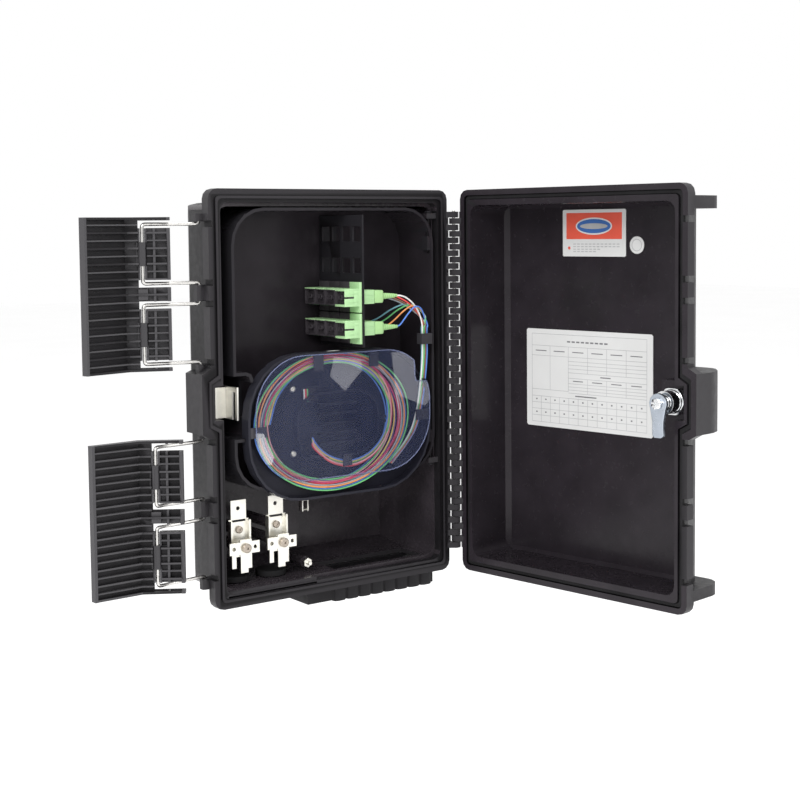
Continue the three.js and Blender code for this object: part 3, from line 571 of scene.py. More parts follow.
def dish_class(c, n):
    w = c.y - HY
    if -1.7 < w < -0.5:
        for x0, x1, z0, z1 in TABS:
            if x0 + (1.9 if x0 < -70 else 0) < c.x < x1 and z0 - 0.1 < c.z < z1 + 0.1:
                return 1
    return 0


dish = copy_node("splice_tray", "splice_dish", [M["dish"], M["tab"]], 0.3, 2, dish_class)
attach(dish, "tray")


# ------------------------------------------------------------------ screws with a cross recess
def cross_head(name, node, body, centre, axis, r, h, tip, mat="nickel", hexagon=False, shank=1.45):
    """centre is the top of the head, axis runs from the head into the work"""
    bm = bmesh.new()
    ax = Vector(axis).normalized()
    c = Vector(centre)
    n = 6 if hexagon else 28
    prof = [(r * 0.80, 0.0), (r * 0.97, h * 0.18), (r, h * 0.45), (r, h), (shank, h), (shank, tip - 0.6), (shank * 0.6, tip), (0, tip)]
    # recessed cross: the top is a fan whose inner star drops
    u = ax.orthogonal().normalized(); v = ax.cross(u)
    m = 32
    def P(ang, rad, t):
        return c + (ax * t + (u * math.cos(ang) + v * math.sin(ang)) * rad) * MM
    star = []
    for i in range(m):
        a = 2 * math.pi * i / m
        k = (a % (math.pi / 2)) / (math.pi / 2)
        arm = 0.62 if (k < 0.10 or k > 0.90) else 0.22
        star.append((a, r * arm))
    outer = [bm.verts.new(P(2 * math.pi * i / m, r * 0.8 if not hexagon else r * 0.78, 0.0)) for i in range(m)]
    rim = [bm.verts.new(P(a, q, 0.02)) for a, q in star]
    low = [bm.verts.new(P(a, q * 0.8, h * 0.45)) for a, q in star]
    mid = bm.verts.new(P(0, 0, h * 0.55))
    for i in range(m):
        j = (i + 1) % m
        bm.faces.new([outer[i], outer[j], rim[j], rim[i]])
        bm.faces.new([rim[i], rim[j], low[j], low[i]])
        bm.faces.new([low[i], low[j], mid])
    prev = outer
    for rad, t in prof[1:]:
        if rad == 0:
            tipv = bm.verts.new(P(0, 0, t))
            for i in range(m):
                bm.faces.new([prev[(i + 1) % m], prev[i], tipv])
            break
        def hexr(a, q):
            if not hexagon or q < r * 0.9:
                return q
            k = (a % (math.pi / 3)) - math.pi / 6
            return q * math.cos(math.pi / 6) / math.cos(k) if q >= r * 0.9 else q
        ring = [bm.verts.new(P(2 * math.pi * i / m, hexr(2 * math.pi * i / m, rad), t)) for i in range(m)]
        for i in range(m):
            j = (i + 1) % m
            bm.faces.new([prev[j], prev[i], ring[i], ring[j]])
        prev = ring
    fix_normals(bm)
    ob = obj_from_bm(name, bm, [M[mat]], 35)
    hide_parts(node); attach(ob, body)
    return ob


for tag, x in CLAMPS.items():
    cross_head("clamp_bolt_" + tag, "clamp_screw_" + tag, "base", W(x, 5.0, -106), (0, 1, 0), 3.35, 2.3, 13.8, "brass")
    cross_head("anchor_bolt_" + tag, "anchor_screw_" + tag, "base", W(x, 15.8, -94.5), (0, 1, 0), 2.6, 1.5, 10.6, "brass")
cross_head("splice_tray_bolt", "splice_tray_screw", "tray", W(44.5, 2.8, -24), (0, 1, 0), 2.95, 1.8, 11.0, "dish")
cross_head("cam_bolt", "cam_screw", "lock_core", D(195, -14.4, -1.5), (DW.x, DW.y, 0), 4.15, 2.1, 14.6, "chrome", True)


# ------------------------------------------------------------------ lock nut, chamfered hexagon with a plain bore
def lock_nut():
    bm = bmesh.new()
    cs, cz = 195.0, -1.5
    n = 48
    def R(a, hexr, cir):
        k = (a % (math.pi / 3)) - math.pi / 6
        return min(hexr * math.cos(math.pi / 6) / math.cos(k), cir)
    def ring(f, w):
        return [bm.verts.new(D(cs + f(2 * math.pi * i / n) * math.cos(2 * math.pi * i / n), w, cz + f(2 * math.pi * i / n) * math.sin(2 * math.pi * i / n))) for i in range(n)]
    rings = [ring(lambda a: 8.35, 8.7), ring(lambda a: 8.35, 4.45), ring(lambda a: R(a, 10.35, 9.5), 4.45), ring(lambda a: R(a, 10.35, 10.05), 4.9), ring(lambda a: R(a, 10.35, 11), 5.3), ring(lambda a: R(a, 10.35, 11), 8.2), ring(lambda a: R(a, 10.35, 9.9), 8.7)]
    m = len(rings)
    for k in range(m):
        a, b = rings[k], rings[(k + 1) % m]
        for i in range(n):
            j = (i + 1) % n
            bm.faces.new([a[i], a[j], b[j], b[i]])
    fix_normals(bm)
    ob = obj_from_bm("lock_hex_nut", bm, [M["chrome"]], 25)
    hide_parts("lock_nut"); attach(ob, "door")


lock_nut()


# ------------------------------------------------------------------ wire bails: bent round wire
def fillet(pts, r, n=5):
    out = [pts[0]]
    for a, b, c in zip(pts, pts[1:], pts[2:]):
        a, b, c = Vector(a), Vector(b), Vector(c)
        u = (a - b).normalized(); v = (c - b).normalized()
        d = min(r, (a - b).length * 0.45, (c - b).length * 0.45)
        p, q = b + u * d, b + v * d
        for i in range(n + 1):
            t = i / n
            out.append(p * (1 - t) ** 2 + b * 2 * t * (1 - t) + q * t * t)
    out.append(pts[-1])
    return out


for tag, mid in MIDS.items():
    for k, z1, z0, pu, pl in (("a", LEG1, LEG0, 5.6, 4.2), ("b", -LEG0, -LEG1, 4.2, 5.4)):
        def T(a, z):
            return Vector((B2.x + a * math.cos(BAIL_A[tag]), B2.y + a * math.sin(BAIL_A[tag]), mid + z)) * MM
        pts = [T(0, z1 + pu), T(0, z1), T(BL, z1), T(BL, z0), T(0, z0), T(0, z0 - pl)]
        path = fillet(pts, 2.4 * MM, 6)
        bm = bmesh.new()
        sweep(bm, path, 1.25, 14)
        fix_normals(bm)
        ob = obj_from_bm("wire_%s_%s" % (tag, k), bm, [M["steel"]], 40)
        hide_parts("wire_bail_%s_%s" % (tag, k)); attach(ob, tag + "_bail")


# ------------------------------------------------------------------ levers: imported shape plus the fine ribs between
def lever(tag):
    ob = copy_node("latch_lever_" + tag, "lever_" + tag, [M["lever"]], 0.22, 2)
    ang = LEVER_A[tag]
    ca, sa = math.cos(ang), math.sin(ang)
    mid = MIDS[tag]
    P2 = PIVOT[tag]
    def F(a, b, z):
        return Vector((P2.x + a * ca - b * sa, P2.y + a * sa + b * ca, mid + z)) * MM
    tip, bend, grip, out, inn = 18.5, 11.0, 36.0, 3.2, 3.3
    bd = math.radians(38); hb = bd / 2
    def pt(al, d):
        return (bend + al * math.cos(bd) - d * math.sin(bd), al * math.sin(bd) + d * math.cos(bd))
    def mitre(d):
        return (bend - d * math.tan(hb), d)
    hh = LATCH_H / 2
    bm = bmesh.new()
    slots = [LEG1, LEG0, -LEG0, -LEG1]
    n = 20
    for i in range(1, n, 2):
        z = -hh + i * LATCH_H / n
        t = 0.5
        grip_rib = [(2.9, -out + 1), mitre(-out + 1), pt(grip - 1, -out + 1), pt(grip - 1, inn - 1.9), mitre(inn - 0.3), (2.9, inn - 0.3)]
        prism(bm, grip_rib, z - t, z + t, F)
        if all(abs(z - c) > 3.2 for c in slots):
            prism(bm, [(-tip + 2.2, -out + 1), (-2.9, -out + 1), (-2.9, inn - 0.4), (-tip + 2.2, inn - 0.4)], z - t, z + t, F)
    # lips that close the window beside each cross wire
    for zb, zt in ((LEG0, LEG1), (-LEG1, -LEG0)):
        zm = (zb + zt) / 2
        for z0, z1 in ((zb + 2.6, zm - 7.9), (zm + 7.9, zt - 2.6)):
            for a0, a1 in ((-3.0, -1.5), (1.5, 2.8)):
                prism(bm, [(a0, -out + 0.3), (a1, -out + 0.3), (a1, 1.6), (a0, 1.6)], z0, z1, F)
    fix_normals(bm)
    ribs = obj_from_bm("ribs_" + tag, bm, [M["lever"]], 35)
    bevel(ribs, 0.15, 1)
    shade(ribs, 35)
    ob = join("lever_" + tag, [ob, ribs])
    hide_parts("latch_lever_" + tag)
    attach(ob, tag + "_lever")


lever("upper"); lever("lower")

# ------------------------------------------------------------------ adapters and connectors
AX = 11.8


def adapter(row, k, z, w):
    """front adapter of a row all green; the three behind it painted dark as shade but for their green roof and floor
    edges
    """
    front = k == 1
    g, d, e = (0, 0, 0) if front else (0, 1, 2)
    bm = bmesh.new()
    def F(x, ww, zz):
        return W(AX + x, w + ww, z + zz)
    def bx(x0, x1, w0, w1, z0, z1, mat=0):
        box_bm(bm, x0, x1, w0, w1, z0, z1, F, mat)
    # hollow half: roof, floor, back wall, slotted front wall
    bx(-13.6, 0.2, -6.3, 6.3, 5.45 if not front else 4.75, 6.35, g)
    bx(-13.6 if front else -10.5, 0.2, -6.3, 6.3, -6.35, -4.75 if front else -5.65, e)
    if not front:
        bx(-13.4, 0.2, -6.25, 6.25, 4.75, 5.5, d)
        bx(-13.4, 0.2, -6.25, 6.25, -5.7, -4.75, d)
    bx(-13.6, 0.2, 5.75, 6.3, -4.8, 4.8, d if not front else 1)
    bx(-13.6, -5.4, -6.3, -5.75, 0.65, 4.8, d)
    bx(-13.6, -5.4, -6.3, -5.75, -4.8, -0.65, d)
    bx(-5.5, 0.2, -6.3, -5.75, -4.8, 4.8, d)
    # core with its ferrule sleeve housing and latch arms, dark with painted shade
    bx(-10.6, -1.6, -5.8, 5.8, -4.8, 4.8, 1)
    bx(-12.4, -10.4, -4.4, -3.4, -1.6, 1.6, 1)
    bx(-12.4, -10.4, 3.4, 4.4, -1.6, 1.6, 1)
    # flange with its ears
    bx(-0.85, 1.2, -6.35, 6.35, -10.9, 10.9, d)
    # second half
    for sg in (1, -1):
        bx(0.8, 13.3, -4.65, 4.65, 4.25 if sg > 0 else -5.0, 5.0 if sg > 0 else -4.25, d)
        bx(0.8, 13.3, 4.05 if sg > 0 else -4.65, 4.65 if sg > 0 else -4.05, -4.3, 4.3, d)
    bx(0.8, 3.9, -4.2, 4.2, -4.3, 4.3, d)
    # keyway rails and side ridges
    bx(3.0, 12.6, -4.95, -4.6, -2.0, -1.2, d)
    bx(3.0, 12.6, -4.95, -4.6, 1.2, 2.0, d)
    bx(-10.5, -2.0, -6.5, -6.25, 2.6, 3.4, d)
    bx(-10.5, -2.0, -6.5, -6.25, -3.4, -2.6, d)
    fix_normals(bm)
    ob = obj_from_bm("adapter_body_%s_%d" % (row, k), bm, [M["green"], M["hollow"], M["green_dark"]], 30)
    bevel(ob, 0.14, 2); shade(ob, 35)
    # sleeve, dark with painted shade
    bm = bmesh.new()
    lathe(bm, [(0, -10.2), (1.9, -10.2), (1.9, -12.5), (1.6, -12.9), (1.1, -12.9), (1.1, -11.0), (0, -11.0)], F(0, 0, 0), (1, 0, 0), 20)
    fix_normals(bm)
    sl = obj_from_bm("sleeve", bm, [M["hollow"]], 35)
    ob = join(ob.name, [ob, sl])
    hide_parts("adapter_%s_%d" % (row, k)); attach(ob, "tray")


def connector(row, k, z, w):
    bm = bmesh.new()
    def F(x, ww, zz):
        return W(AX + x, w + ww, z + zz)
    box_bm(bm, 4.6, 22.0, -3.55, 3.55, -3.75, 3.75, F)
    box_bm(bm, 13.9, 20.9, -4.3, 4.3, -4.5, 4.5, F)
    for i in range(4):
        x = 14.8 + i * 1.55
        box_bm(bm, x, x + 0.75, -4.4, 4.4, -3.6, 3.6, F)
    box_bm(bm, 12.0, 13.9, -4.05, 4.05, -1.1, 1.1, F)
    fix_normals(bm)
    ob = obj_from_bm("plug_%s_%d" % (row, k), bm, [M["green2"]], 30)
    bevel(ob, 0.2, 2); shade(ob, 35)
    bm = bmesh.new()
    prof = [(0, 21.2)]
    x = 21.2; r = 2.75
    prof.append((r, x))
    i = 0
    while x < 34.2:
        rr = 2.6 - (x - 21.2) / 15.3 * 1.35
        prof += [(rr, x + 0.2), (rr, x + 1.1), (rr - 0.45, x + 1.3), (rr - 0.45, x + 1.75)]
        x += 1.95
    prof += [(1.25, 36.2), (1.05, 36.5), (0, 36.5)]
    lathe(bm, prof, F(0, 0, 0), (1, 0, 0), 24)
    fix_normals(bm)
    bt = obj_from_bm("boot", bm, [M["green2"]], 35)
    ob = join(ob.name, [ob, bt])
    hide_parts("connector_%s_%d" % (row, k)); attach(ob, "tray")


for row, z in (("upper", 67.6), ("lower", 44.9)):
    for k in range(4):
        adapter(row, k + 1, z, -8.0 + 13.4 * k)
        connector(row, k + 1, z, -8.0 + 13.4 * k)


# ------------------------------------------------------------------ fibres
def strand_object(name, body, strands, replaces=()):
    """strands: [(material key, path in metres, radius mm, closed)]"""
    keys = sorted(set(s[0] for s in strands))
    bm = bmesh.new()
    for key, path, r, closed in strands:
        sweep(bm, path, r, 8, closed=closed, mat=keys.index(key))
    fix_normals(bm)
    ob = obj_from_bm(name, bm, [M[k] for k in keys], 60)
    if replaces:
        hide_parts(*replaces)
    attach(ob, body)
    return ob


def loop_path(L, R, T, B, w, cx=-2.0, cz=-21.5, n=84, wob=0.0, ph=0.0):
    out = []
    for i in range(n):
        a = 2 * math.pi * i / n
        c, s = math.cos(a), math.sin(a)
        x = cx + ((R - cx) if c > 0 else (cx - L)) * c
        z = cz + ((T - cz) if s > 0 else (cz - B)) * s
        k = 1 + wob * math.sin(3 * a + ph) * 0.01
        out.append(W(cx + (x - cx) * k, w + 0.12 * math.sin(2 * a + ph), cz + (z - cz) * k))
    return out


coil = []
order = ["f_green", "f_blue", "f_orange", "f_white", "f_brown", "f_grey", "f_red", "f_yellow", "f_violet", "f_pink", "f_aqua", "f_magenta"]
loops = [
    # key, left, right, top, bottom, w
    ("f_green", -67.6, 64.2, 28.6, -71.6, 1.0), ("f_blue", -68.4, 62.2, 27.4, -70.6, 1.9), ("f_orange", -65.2, 60.6, 27.9, -69.4, 0.9),
    ("f_brown", -66.4, 63.2, 26.4, -70.4, 2.8), ("f_grey", -62.8, 58.8, 25.0, -68.2, 1.6), ("f_white", -63.6, 56.8, 28.9, -68.9, 2.6),
    ("f_red", -66.9, 57.8, 26.9, -66.8, 2.2), ("f_magenta", -61.0, 55.0, 24.4, -66.0, 1.0), ("f_aqua", -60.2, 61.6, 23.6, -67.4, 3.2),
    ("f_yellow", -58.8, 52.6, 22.6, -66.6, 2.4), ("f_blue", -62.0, 45.4, 21.8, -64.8, 3.3), ("f_pink", -57.8, 49.2, 21.2, -65.4, 1.7),
    ("f_violet", -64.4, 54.0, 25.8, -67.8, 3.4), ("f_green", -59.6, 47.0, 20.8, -63.8, 0.9),
]
for i, (key, L, R, T, Bt, w) in enumerate(loops):
    coil.append((key, loop_path(L, R, T, Bt, w, cx=-2 + 1.5 * math.sin(i * 1.7), cz=-21.5 + 1.2 * math.cos(i * 2.3), wob=0.35, ph=i * 1.3), 0.58, True))
for j, key in enumerate(["f_blue", "f_yellow", "f_green", "f_pink", "f_red"]):
    g = j * 1.05
    pts = [(-20.6 + 0.3 * j, 1.6, -32.0 - 0.6 * j), (-18.4 - 0.5 * g, 1.0, -36.4 - 0.5 * g), (-12.6, 0.7, -42.6 - 0.9 * g), (-3.6, 0.6, -48.0 - g), (8.0, 0.6, -51.2 - g), (20.0, 0.7, -50.4 - g),
           (32.0 + 0.5 * g, 0.9, -45.0 - 0.8 * g), (41.2 + 0.8 * g, 1.1, -35.0 - 0.4 * g), (45.2 + g, 1.3, -21.0), (43.0 + g, 1.6, -4.0 + 0.4 * g), (33.0 + 0.7 * g, 1.8, 10.6 + 0.7 * g), (16.0, 2.0, 19.4 + 0.8 * g), (-6.0, 2.1, 21.8 + g), (-30.0 - 0.4 * g, 2.2, 15.6 + g), (-48.0 - 0.9 * g, 2.3, 0.0 + 0.5 * g), (-55.6 - g, 2.4, -20.0)]
    coil.append((key, catmull([W(x, w + 0.55 * (j % 3) - 0.4, z) for x, w, z in pts], 6), 0.58, False))
strand_object("fibre_loops", "tray", coil, ("fiber_coil",))

UP = [("f_white", -8.0), ("f_red", 5.4), ("f_brown", 18.8), ("f_grey", 32.2)]
LO = [("f_blue", -8.0), ("f_orange", 5.4), ("f_green", 18.8), ("f_aqua", 32.2)]
slots_xy = [(76.6, -1.2), (78.0, -1.2), (79.4, -1.2), (80.8, -1.2), (76.9, 0.2), (78.3, 0.2), (79.7, 0.2), (81.0, 0.2)]
ups, los, bun = [], [], []
for i, (key, w0) in enumerate(UP):
    sx, sw = slots_xy[[0, 5, 2, 7][i]]
    p = [(48.0, w0, 67.6), (52.0, w0 - 0.1, 67.3), (58.0, w0 * 0.75 - 1.0, 65.4), (64.5, w0 * 0.42 - 2.4, 61.2), (70.6, w0 * 0.15 - 2.8, 55.2), (75.0 + 0.4 * i, -2.0, 48.4), (sx, sw, 42.6), (sx, sw, 41.6)]
    ups.append((key, catmull([W(*q) for q in p], 6), 0.6, False))
for i, (key, w0) in enumerate(LO):
    sx, sw = slots_xy[[3, 6, 1, 4][i]]
    p = [(48.0, w0, 44.9), (51.0, w0 - 0.1, 45.9), (55.0, w0 * 0.8 - 1.2, 49.6), (60.0, w0 * 0.55 - 3.2, 54.8 + 0.5 * i), (66.0, w0 * 0.3 - 4.4, 58.6 + 0.5 * i), (72.6, w0 * 0.12 - 4.0, 57.0), (77.6 + 0.3 * i, -2.6, 50.4), (sx + 0.4, sw - 0.3, 44.2), (sx, sw, 41.6)]
    los.append((key, catmull([W(*q) for q in p], 6), 0.6, False))
alls = [(k, [0, 5, 2, 7][i]) for i, (k, _) in enumerate(UP)] + [(k, [3, 6, 1, 4][i]) for i, (k, _) in enumerate(LO)]
for key, si in alls:
    sx, sw = slots_xy[si]
    p = [(sx, sw, 41.6), (sx, sw, 34.0), (sx + 0.2, sw + 0.2, 24.0), (sx * 0.985 + 1.0, sw * 0.7 + 0.6, 12.0), (sx * 0.97 + 1.6, sw * 0.6 + 1.4, 2.0), (sx * 0.96 + 1.6, sw * 0.5 + 2.2, -8.0), (sx * 0.95 + 0.6, 2.6 + 0.2 * (si % 3), -20.0), (sx * 0.9 - 0.6, 2.8, -34.0), (sx * 0.8 - 2.0, 2.9, -46.0), (sx * 0.62, 3.0, -56.0 - si * 0.3)]
    bun.append((key, catmull([W(*q) for q in p], 6), 0.6, False))
strand_object("pigtails_top_row", "tray", ups, ("pigtails_upper",))
strand_object("pigtails_low_row", "tray", los, ("pigtails_lower",))
strand_object("pigtails_down", "tray", bun, ("pigtail_bundle",))


# ------------------------------------------------------------------ clear cover, slightly crowned film with its hinge rod
def cover():
    bm = bmesh.new()
    n = 30
    x0, x1, z0, z1 = -70.0, 82.0, -62.0, 28.0
    def outline(x, z):
        # inside test for a rounded rectangle, radius 40, with the corner notch at the upper right
        r = 40.0
        cx = min(max(x, x0 + r), x1 - r); cz = min(max(z, z0 + r), z1 - r)
        return (x - cx) ** 2 + (z - cz) ** 2
    # polar grid so that the outline is smooth
    cx, cz = 4.0, -18.0
    rings = 14; m = 120
    def edge(a):
        dx, dz = math.cos(a), math.sin(a)
        lo, hi = 0.0, 140.0
        for _ in range(40):
            q = (lo + hi) / 2
            x, z = cx + dx * q, cz + dz * q
            ok = x0 < x < x1 and z0 < z < z1 and outline(x, z) < 40.0 ** 2 and not (x > 68.2 and z > 3.2)
            lo, hi = (q, hi) if ok else (lo, q)
        return lo
    def wf(x, z):
        u = (x - 6) / 76.0; v = (z + 17) / 45.0
        crown = 0.62 * (u * u * 0.9 + v * v * 0.25)
        rip = 0.06 * math.sin(x * 0.16 + z * 0.09) + 0.05 * math.sin(z * 0.21 - x * 0.05)
        return -3.78 + min(crown, 0.75) + rip * 0.6 + 0.06
    for side in (0, 1):
        pass
    E = [edge(2 * math.pi * i / m) for i in range(m)]
    def layer(dw):
        c = bm.verts.new(W(cx, wf(cx, cz) + dw, cz))
        rs = []
        for j in range(1, rings + 1):
            f = j / rings
            rs.append([bm.verts.new(W(cx + math.cos(2 * math.pi * i / m) * E[i] * f, min(wf(cx + math.cos(2 * math.pi * i / m) * E[i] * f, cz + math.sin(2 * math.pi * i / m) * E[i] * f) + dw, -2.72), cz + math.sin(2 * math.pi * i / m) * E[i] * f)) for i in range(m)])
        for i in range(m):
            j = (i + 1) % m
            bm.faces.new([c, rs[0][i], rs[0][j]])
            for a, b in zip(rs, rs[1:]):
                bm.faces.new([a[i], b[i], b[j], a[j]])
        return rs[-1]
    a = layer(0.0); b = layer(0.32)
    for i in range(m):
        j = (i + 1) % m
        bm.faces.new([a[i], a[j], b[j], b[i]])
    fix_normals(bm)
    # glare zones: the film is split along their outlines, and their faces take the lighter, less clear film as painted
    # reflection
    zones = [
        [(46.4, 25.5), (62, 25.5), (82.5, 3.5), (81.5, -12), (77, -16.5), (50.1, -5.7)],
        [(-70.5, -24), (-63.5, -25), (-55.5, -42), (-57.5, -47.5), (-68, -45)],
        [(-4.4, 25.5), (19, 22), (20, 14), (4.7, -0.1), (-8, 11.6)],
    ]
    def span(poly):
        return [(poly[i], poly[(i + 1) % len(poly)]) for i in range(len(poly))]
    for poly in zones:
        for p, q in span(poly):
            nrm = Vector((-(q[1] - p[1]), 0, q[0] - p[0])).normalized()
            bmesh.ops.bisect_plane(bm, geom=bm.verts[:] + bm.edges[:] + bm.faces[:], dist=1e-7, plane_co=W(p[0], 0, p[1]), plane_no=nrm)
    for f in bm.faces:
        c = f.calc_center_median() / MM
        for poly in zones:
            sd = [(q[0] - p[0]) * (c.z - p[1]) - (q[1] - p[1]) * (c.x - p[0]) for p, q in span(poly)]
            if all(v <= 0 for v in sd) or all(v >= 0 for v in sd):
                f.material_index = 3 if poly is zones[1] else 1
    bmesh.ops.triangulate(bm, faces=[f for f in bm.faces if len(f.verts) > 4])
    ob = obj_from_bm("clear_cover", bm, [M["clear"], M["frost"], M["edge"], M["haze"]], 50)
    bm = bmesh.new()
    # bead round the rim
    rim = []
    for i in range(m):
        g = 2 * math.pi * i / m
        e = E[i] - 0.55
        x, z = cx + math.cos(g) * e, cz + math.sin(g) * e
        if not rim or (Vector((x, z)) - Vector(rim[-1])).length > 1.2:
            rim.append((x, z))
    sweep(bm, [W(x, max(-3.40, min(wf(x, z) + 0.16, -3.18)), z) for x, z in rim], 0.42, 8, closed=True, mat=2)
    fix_normals(bm)
    bead = obj_from_bm("cover_bead", bm, [M["clear"], M["frost"], M["edge"], M["haze"]], 60)
    ob = join("clear_cover", [ob, bead])
    bm = bmesh.new()
    # rolled hinge edge
    sweep(bm, [W(x, -3.3, -62.2) for x in (-30, -18, -6, 6, 18, 30, 42)], 0.55, 12)
    fix_normals(bm)
    rod = obj_from_bm("cover_rod", bm, [M["clear"], M["frost"], M["edge"], M["haze"]], 50)
    ob = join("clear_cover", [ob, rod])
    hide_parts("splice_tray_cover"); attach(ob, "tray_cover")


cover()


# ------------------------------------------------------------------ small fittings seen on the dish floor and in the box
def pan_head(bm, c, ax, r, h, mat=0):
    """low domed head with a straight slot ring"""
    lathe(bm, [(0, 0.32 * h), (r * 0.30, 0.30 * h), (r * 0.36, 0.02 * h), (r * 0.72, 0.06 * h), (r * 0.95, 0.40 * h), (r, 0.65 * h), (r, h), (0, h)], c, ax, 28, mat)


def dish_fittings():
    bm = bmesh.new()
    for x, z in ((-34.7, -42.9), (-34.7, 3.6)):
        pan_head(bm, W(x, 3.5, z), (0, 1, 0), 2.3, 1.7)
    fix_normals(bm)
    ob = obj_from_bm("dish_pegs", bm, [M["nickel"]], 35)
    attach(ob, "tray")
    bm = bmesh.new()
    # frame of the little window beside the island
    o = [(-27.4, -7.2), (-13.4, -7.2), (-13.4, 3.9), (-27.4, 3.9)]
    def F(x, z, w): return W(x, w, z)
    for x0, x1, z0, z1 in ((-27.6, -13.2, -7.4, -6.4), (-27.6, -13.2, 3.1, 4.1), (-27.6, -26.6, -6.4, 3.1), (-14.2, -13.2, -6.4, 3.1)):
        prism(bm, [(x0, z0), (x1, z0), (x1, z1), (x0, z1)], 3.9, 5.1, F)
    # dark pane inside the window frame: painted shade
    prism(bm, [(-26.8, -6.6), (-14.0, -6.6), (-14.0, 3.3), (-26.8, 3.3)], 4.7, 5.08, F, 1)
    fix_normals(bm)
    ob = obj_from_bm("dish_window", bm, [M["dish"], M["hollow"]], 30)
    bevel(ob, 0.2, 2); shade(ob, 35)
    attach(ob, "tray")
    strand_object("window_strands", "tray", [(k, catmull([W(x, 4.0, -6.2), W(x + 0.1, 3.7, -3), W(x, 3.7, 0.4), W(x + 0.1, 4.0, 2.9)], 5), 0.55, False) for k, x in (("f_white", -25.6), ("f_red", -24.2), ("f_green", -22.8))])
    # bright hook on the back wall
    bm = bmesh.new()
    def G(x, z, w): return W(x, w, z)
    for x0, x1, z0, z1, w0, w1 in ((6.2, 7.5, -98.0, -88.6, 59.4, 62.6), (11.0, 12.3, -98.0, -88.6, 59.4, 62.6), (6.2, 12.3, -89.8, -88.4, 59.2, 62.6), (7.2, 11.2, -97.6, -96.6, 61.4, 62.6)):
        prism(bm, [(x0, z0), (x1, z0), (x1, z1), (x0, z1)], w0, w1, G)
    fix_normals(bm)
    ob = obj_from_bm("wall_hook", bm, [M["nickel"]], 30)
    bevel(ob, 0.25, 2); shade(ob, 35)
    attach(ob, "base")


dish_fittings()


# ------------------------------------------------------------------ printed pieces on the door
def printed_card():
    bm = bmesh.new()
    s0, s1, z0, z1 = 36.9, 153.5, -34.6, 39.6
    wf = 41.62
    def S(u): return s0 + (s1 - s0) * u
    def Z(v): return z1 + (z0 - z1) * v
    def F(s, z, w): return D(s, w, z)
    def rect(bm, a, b, c, d, lo, hi, mat):
        prism(bm, [(a, c), (b, c), (b, d), (a, d)], lo, hi, F, mat)
    # the card with cut corners
    r = 1.2
    pts = [(s0 + r, z0), (s1 - r, z0), (s1, z0 + r), (s1, z1 - r), (s1 - r, z1), (s0 + r, z1), (s0, z1 - r), (s0, z0 + r)]
    prism(bm, pts, wf, 42.08, F, 0)
    t = 0.17
    def hl(v, u0, u1, mat=2): rect(bm, S(u0), S(u1), Z(v) - t, Z(v) + t, wf - 0.018, wf + 0.01, mat)
    def vl(u, v0, v1, mat=2): rect(bm, S(u) - t, S(u) + t, Z(v1), Z(v0), wf - 0.018, wf + 0.01, mat)
    def bar(u0, u1, v, h=0.8, mat=1): rect(bm, S(u0), S(u1), Z(v) - h / 2, Z(v) + h / 2, wf - 0.018, wf + 0.01, mat)
    hl(0.05, .045, .955); hl(0.955, .045, .955); vl(.045, .05, .955); vl(.955, .05, .955)
    hl(.17, .045, .955)
    for k in range(9):
        bar(.335 + k * .037, .335 + k * .037 + .026, .118, 1.15)
    cols = [.045, .195, .345, .50, .65, .80, .955]
    for u in cols[1:3]: vl(u, .17, .62)
    for u in cols[3:6]: vl(u, .17, .43); vl(u, .485, .635)
    hl(.272, .045, .955)
    for c0, c1 in zip(cols, cols[1:]):
        m = (c0 + c1) / 2
        bar(m - .045, m + .045, .222, 0.7, 1)
    for v in (.315, .352, .39, .43): hl(v, .345, .955)
    bar(.60, .68, .455, 0.8)
    hl(.485, .345, .955)
    for c0, c1 in zip(cols[2:], cols[3:]):
        m = (c0 + c1) / 2
        bar(m - .04, m + .04, .512, 0.7, 1)
    for v in (.54, .572, .604, .635): hl(v, .345, .955)
    hl(.62, .045, .345)
    bar(.40, .57, .662, 0.9)
    g = [.045 + (.955 - .045) * i / 12 for i in range(13)]
    for v in (.69, .755, .82, .888): hl(v, .045, .955)
    for u in g[1:-1]: vl(u, .69, .955)
    for i in range(12):
        for v in (.722, .854):
            m = (g[i] + g[i + 1]) / 2
            bar(m - .006, m + .006, v, 1.1, 1)
    fix_normals(bm)
    ob = obj_from_bm("table_card", bm, [M["paper"], M["ink"], M["inksoft"]], 30)
    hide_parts("record_card"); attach(ob, "door")


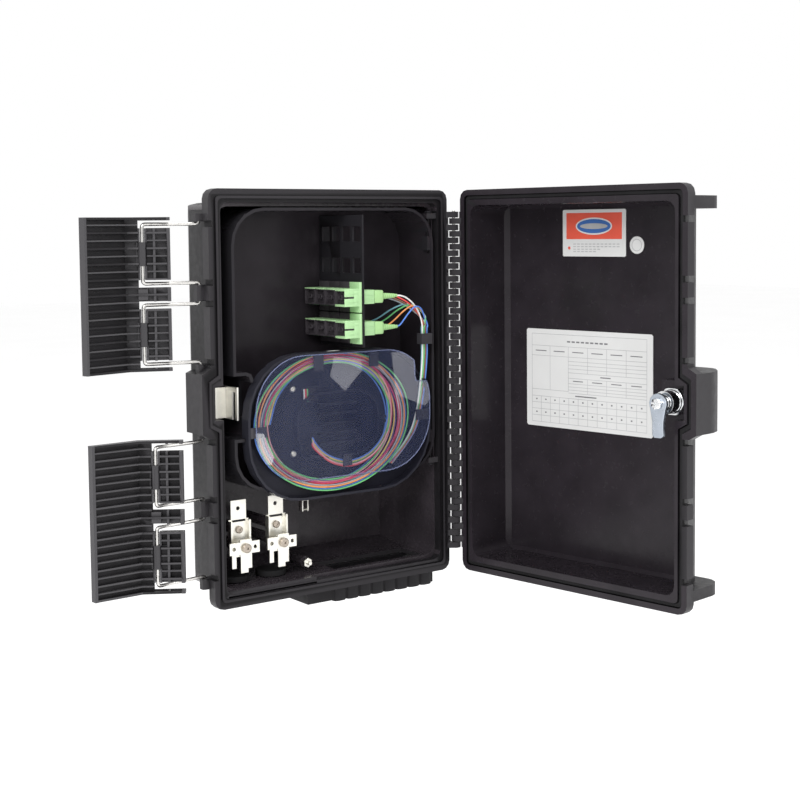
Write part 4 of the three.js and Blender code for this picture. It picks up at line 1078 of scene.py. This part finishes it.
def printed_label():
    bm = bmesh.new()
    s0, s1, z0, z1 = 72.2, 129.8, 94.6, 129.0
    wf = 41.66
    def S(u): return s0 + (s1 - s0) * u
    def Z(v): return z1 + (z0 - z1) * v
    def F(s, z, w): return D(s, w, z)
    r = 0.8
    pts = [(s0 + r, z0), (s1 - r, z0), (s1, z0 + r), (s1, z1 - r), (s1 - r, z1), (s0 + r, z1), (s0, z1 - r), (s0, z0 + r)]
    prism(bm, pts, wf, 42.08, F, 0)
    prism(bm, [(S(.06), Z(.63)), (S(.94), Z(.63)), (S(.94), Z(.07)), (S(.06), Z(.07))], wf - 0.015, wf + .01, F, 1)
    def oval(a, b, lo, mat, n=48):
        prism(bm, [(S(.5) + a * math.cos(2 * math.pi * i / n), Z(.355) + b * math.sin(2 * math.pi * i / n)) for i in range(n)], lo, wf + .008, F, mat)
    oval(16.6, 6.3, wf - 0.025, 0)
    oval(15.4, 5.2, wf - 0.035, 2)
    oval(12.6, 2.1, wf - 0.045, 4)
    for i, (u0, u1, v, mt) in enumerate([(.17, .92, .735, 4), (.17, .92, .79, 4), (.17, .62, .845, 4), (.17, .55, .895, 4)]):
        n = int((u1 - u0) / .06)
        for k in range(n):
            a = u0 + (u1 - u0) * k / n
            prism(bm, [(S(a), Z(v) - .35), (S(a + .045), Z(v) - .35), (S(a + .045), Z(v) + .35), (S(a), Z(v) + .35)], wf - .015, wf + .01, F, mt)
    n = 20
    prism(bm, [(S(.105) + 1.2 * math.cos(2 * math.pi * i / n), Z(.82) + 1.2 * math.sin(2 * math.pi * i / n)) for i in range(n)], wf - .015, wf + .01, F, 1)
    fix_normals(bm)
    ob = obj_from_bm("notice_label", bm, [M["paper"], M["red"], M["blue"], M["ink"], M["inksoft"]], 30)
    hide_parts("caution_label"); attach(ob, "door")


def sticker():
    bm = bmesh.new()
    c = D(139.4, 41.62, 103)
    ax = (DW.x, DW.y, 0)
    lathe(bm, [(0, 0), (6.0, 0), (6.25, 0.12), (6.25, 0.42), (0, 0.42)], c, ax, 48)
    lathe(bm, [(0, -0.02), (4.4, -0.02), (4.4, 0.1), (0, 0.1)], c, ax, 40, mat=1)
    lathe(bm, [(0, -0.03), (3.9, -0.03), (3.9, 0.1), (0, 0.1)], c, ax, 40, mat=0)
    fix_normals(bm)
    ob = obj_from_bm("round_seal_sticker", bm, [M["paper"], M["inksoft"]], 30)
    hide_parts("round_sticker"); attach(ob, "door")


printed_card(); printed_label(); sticker()
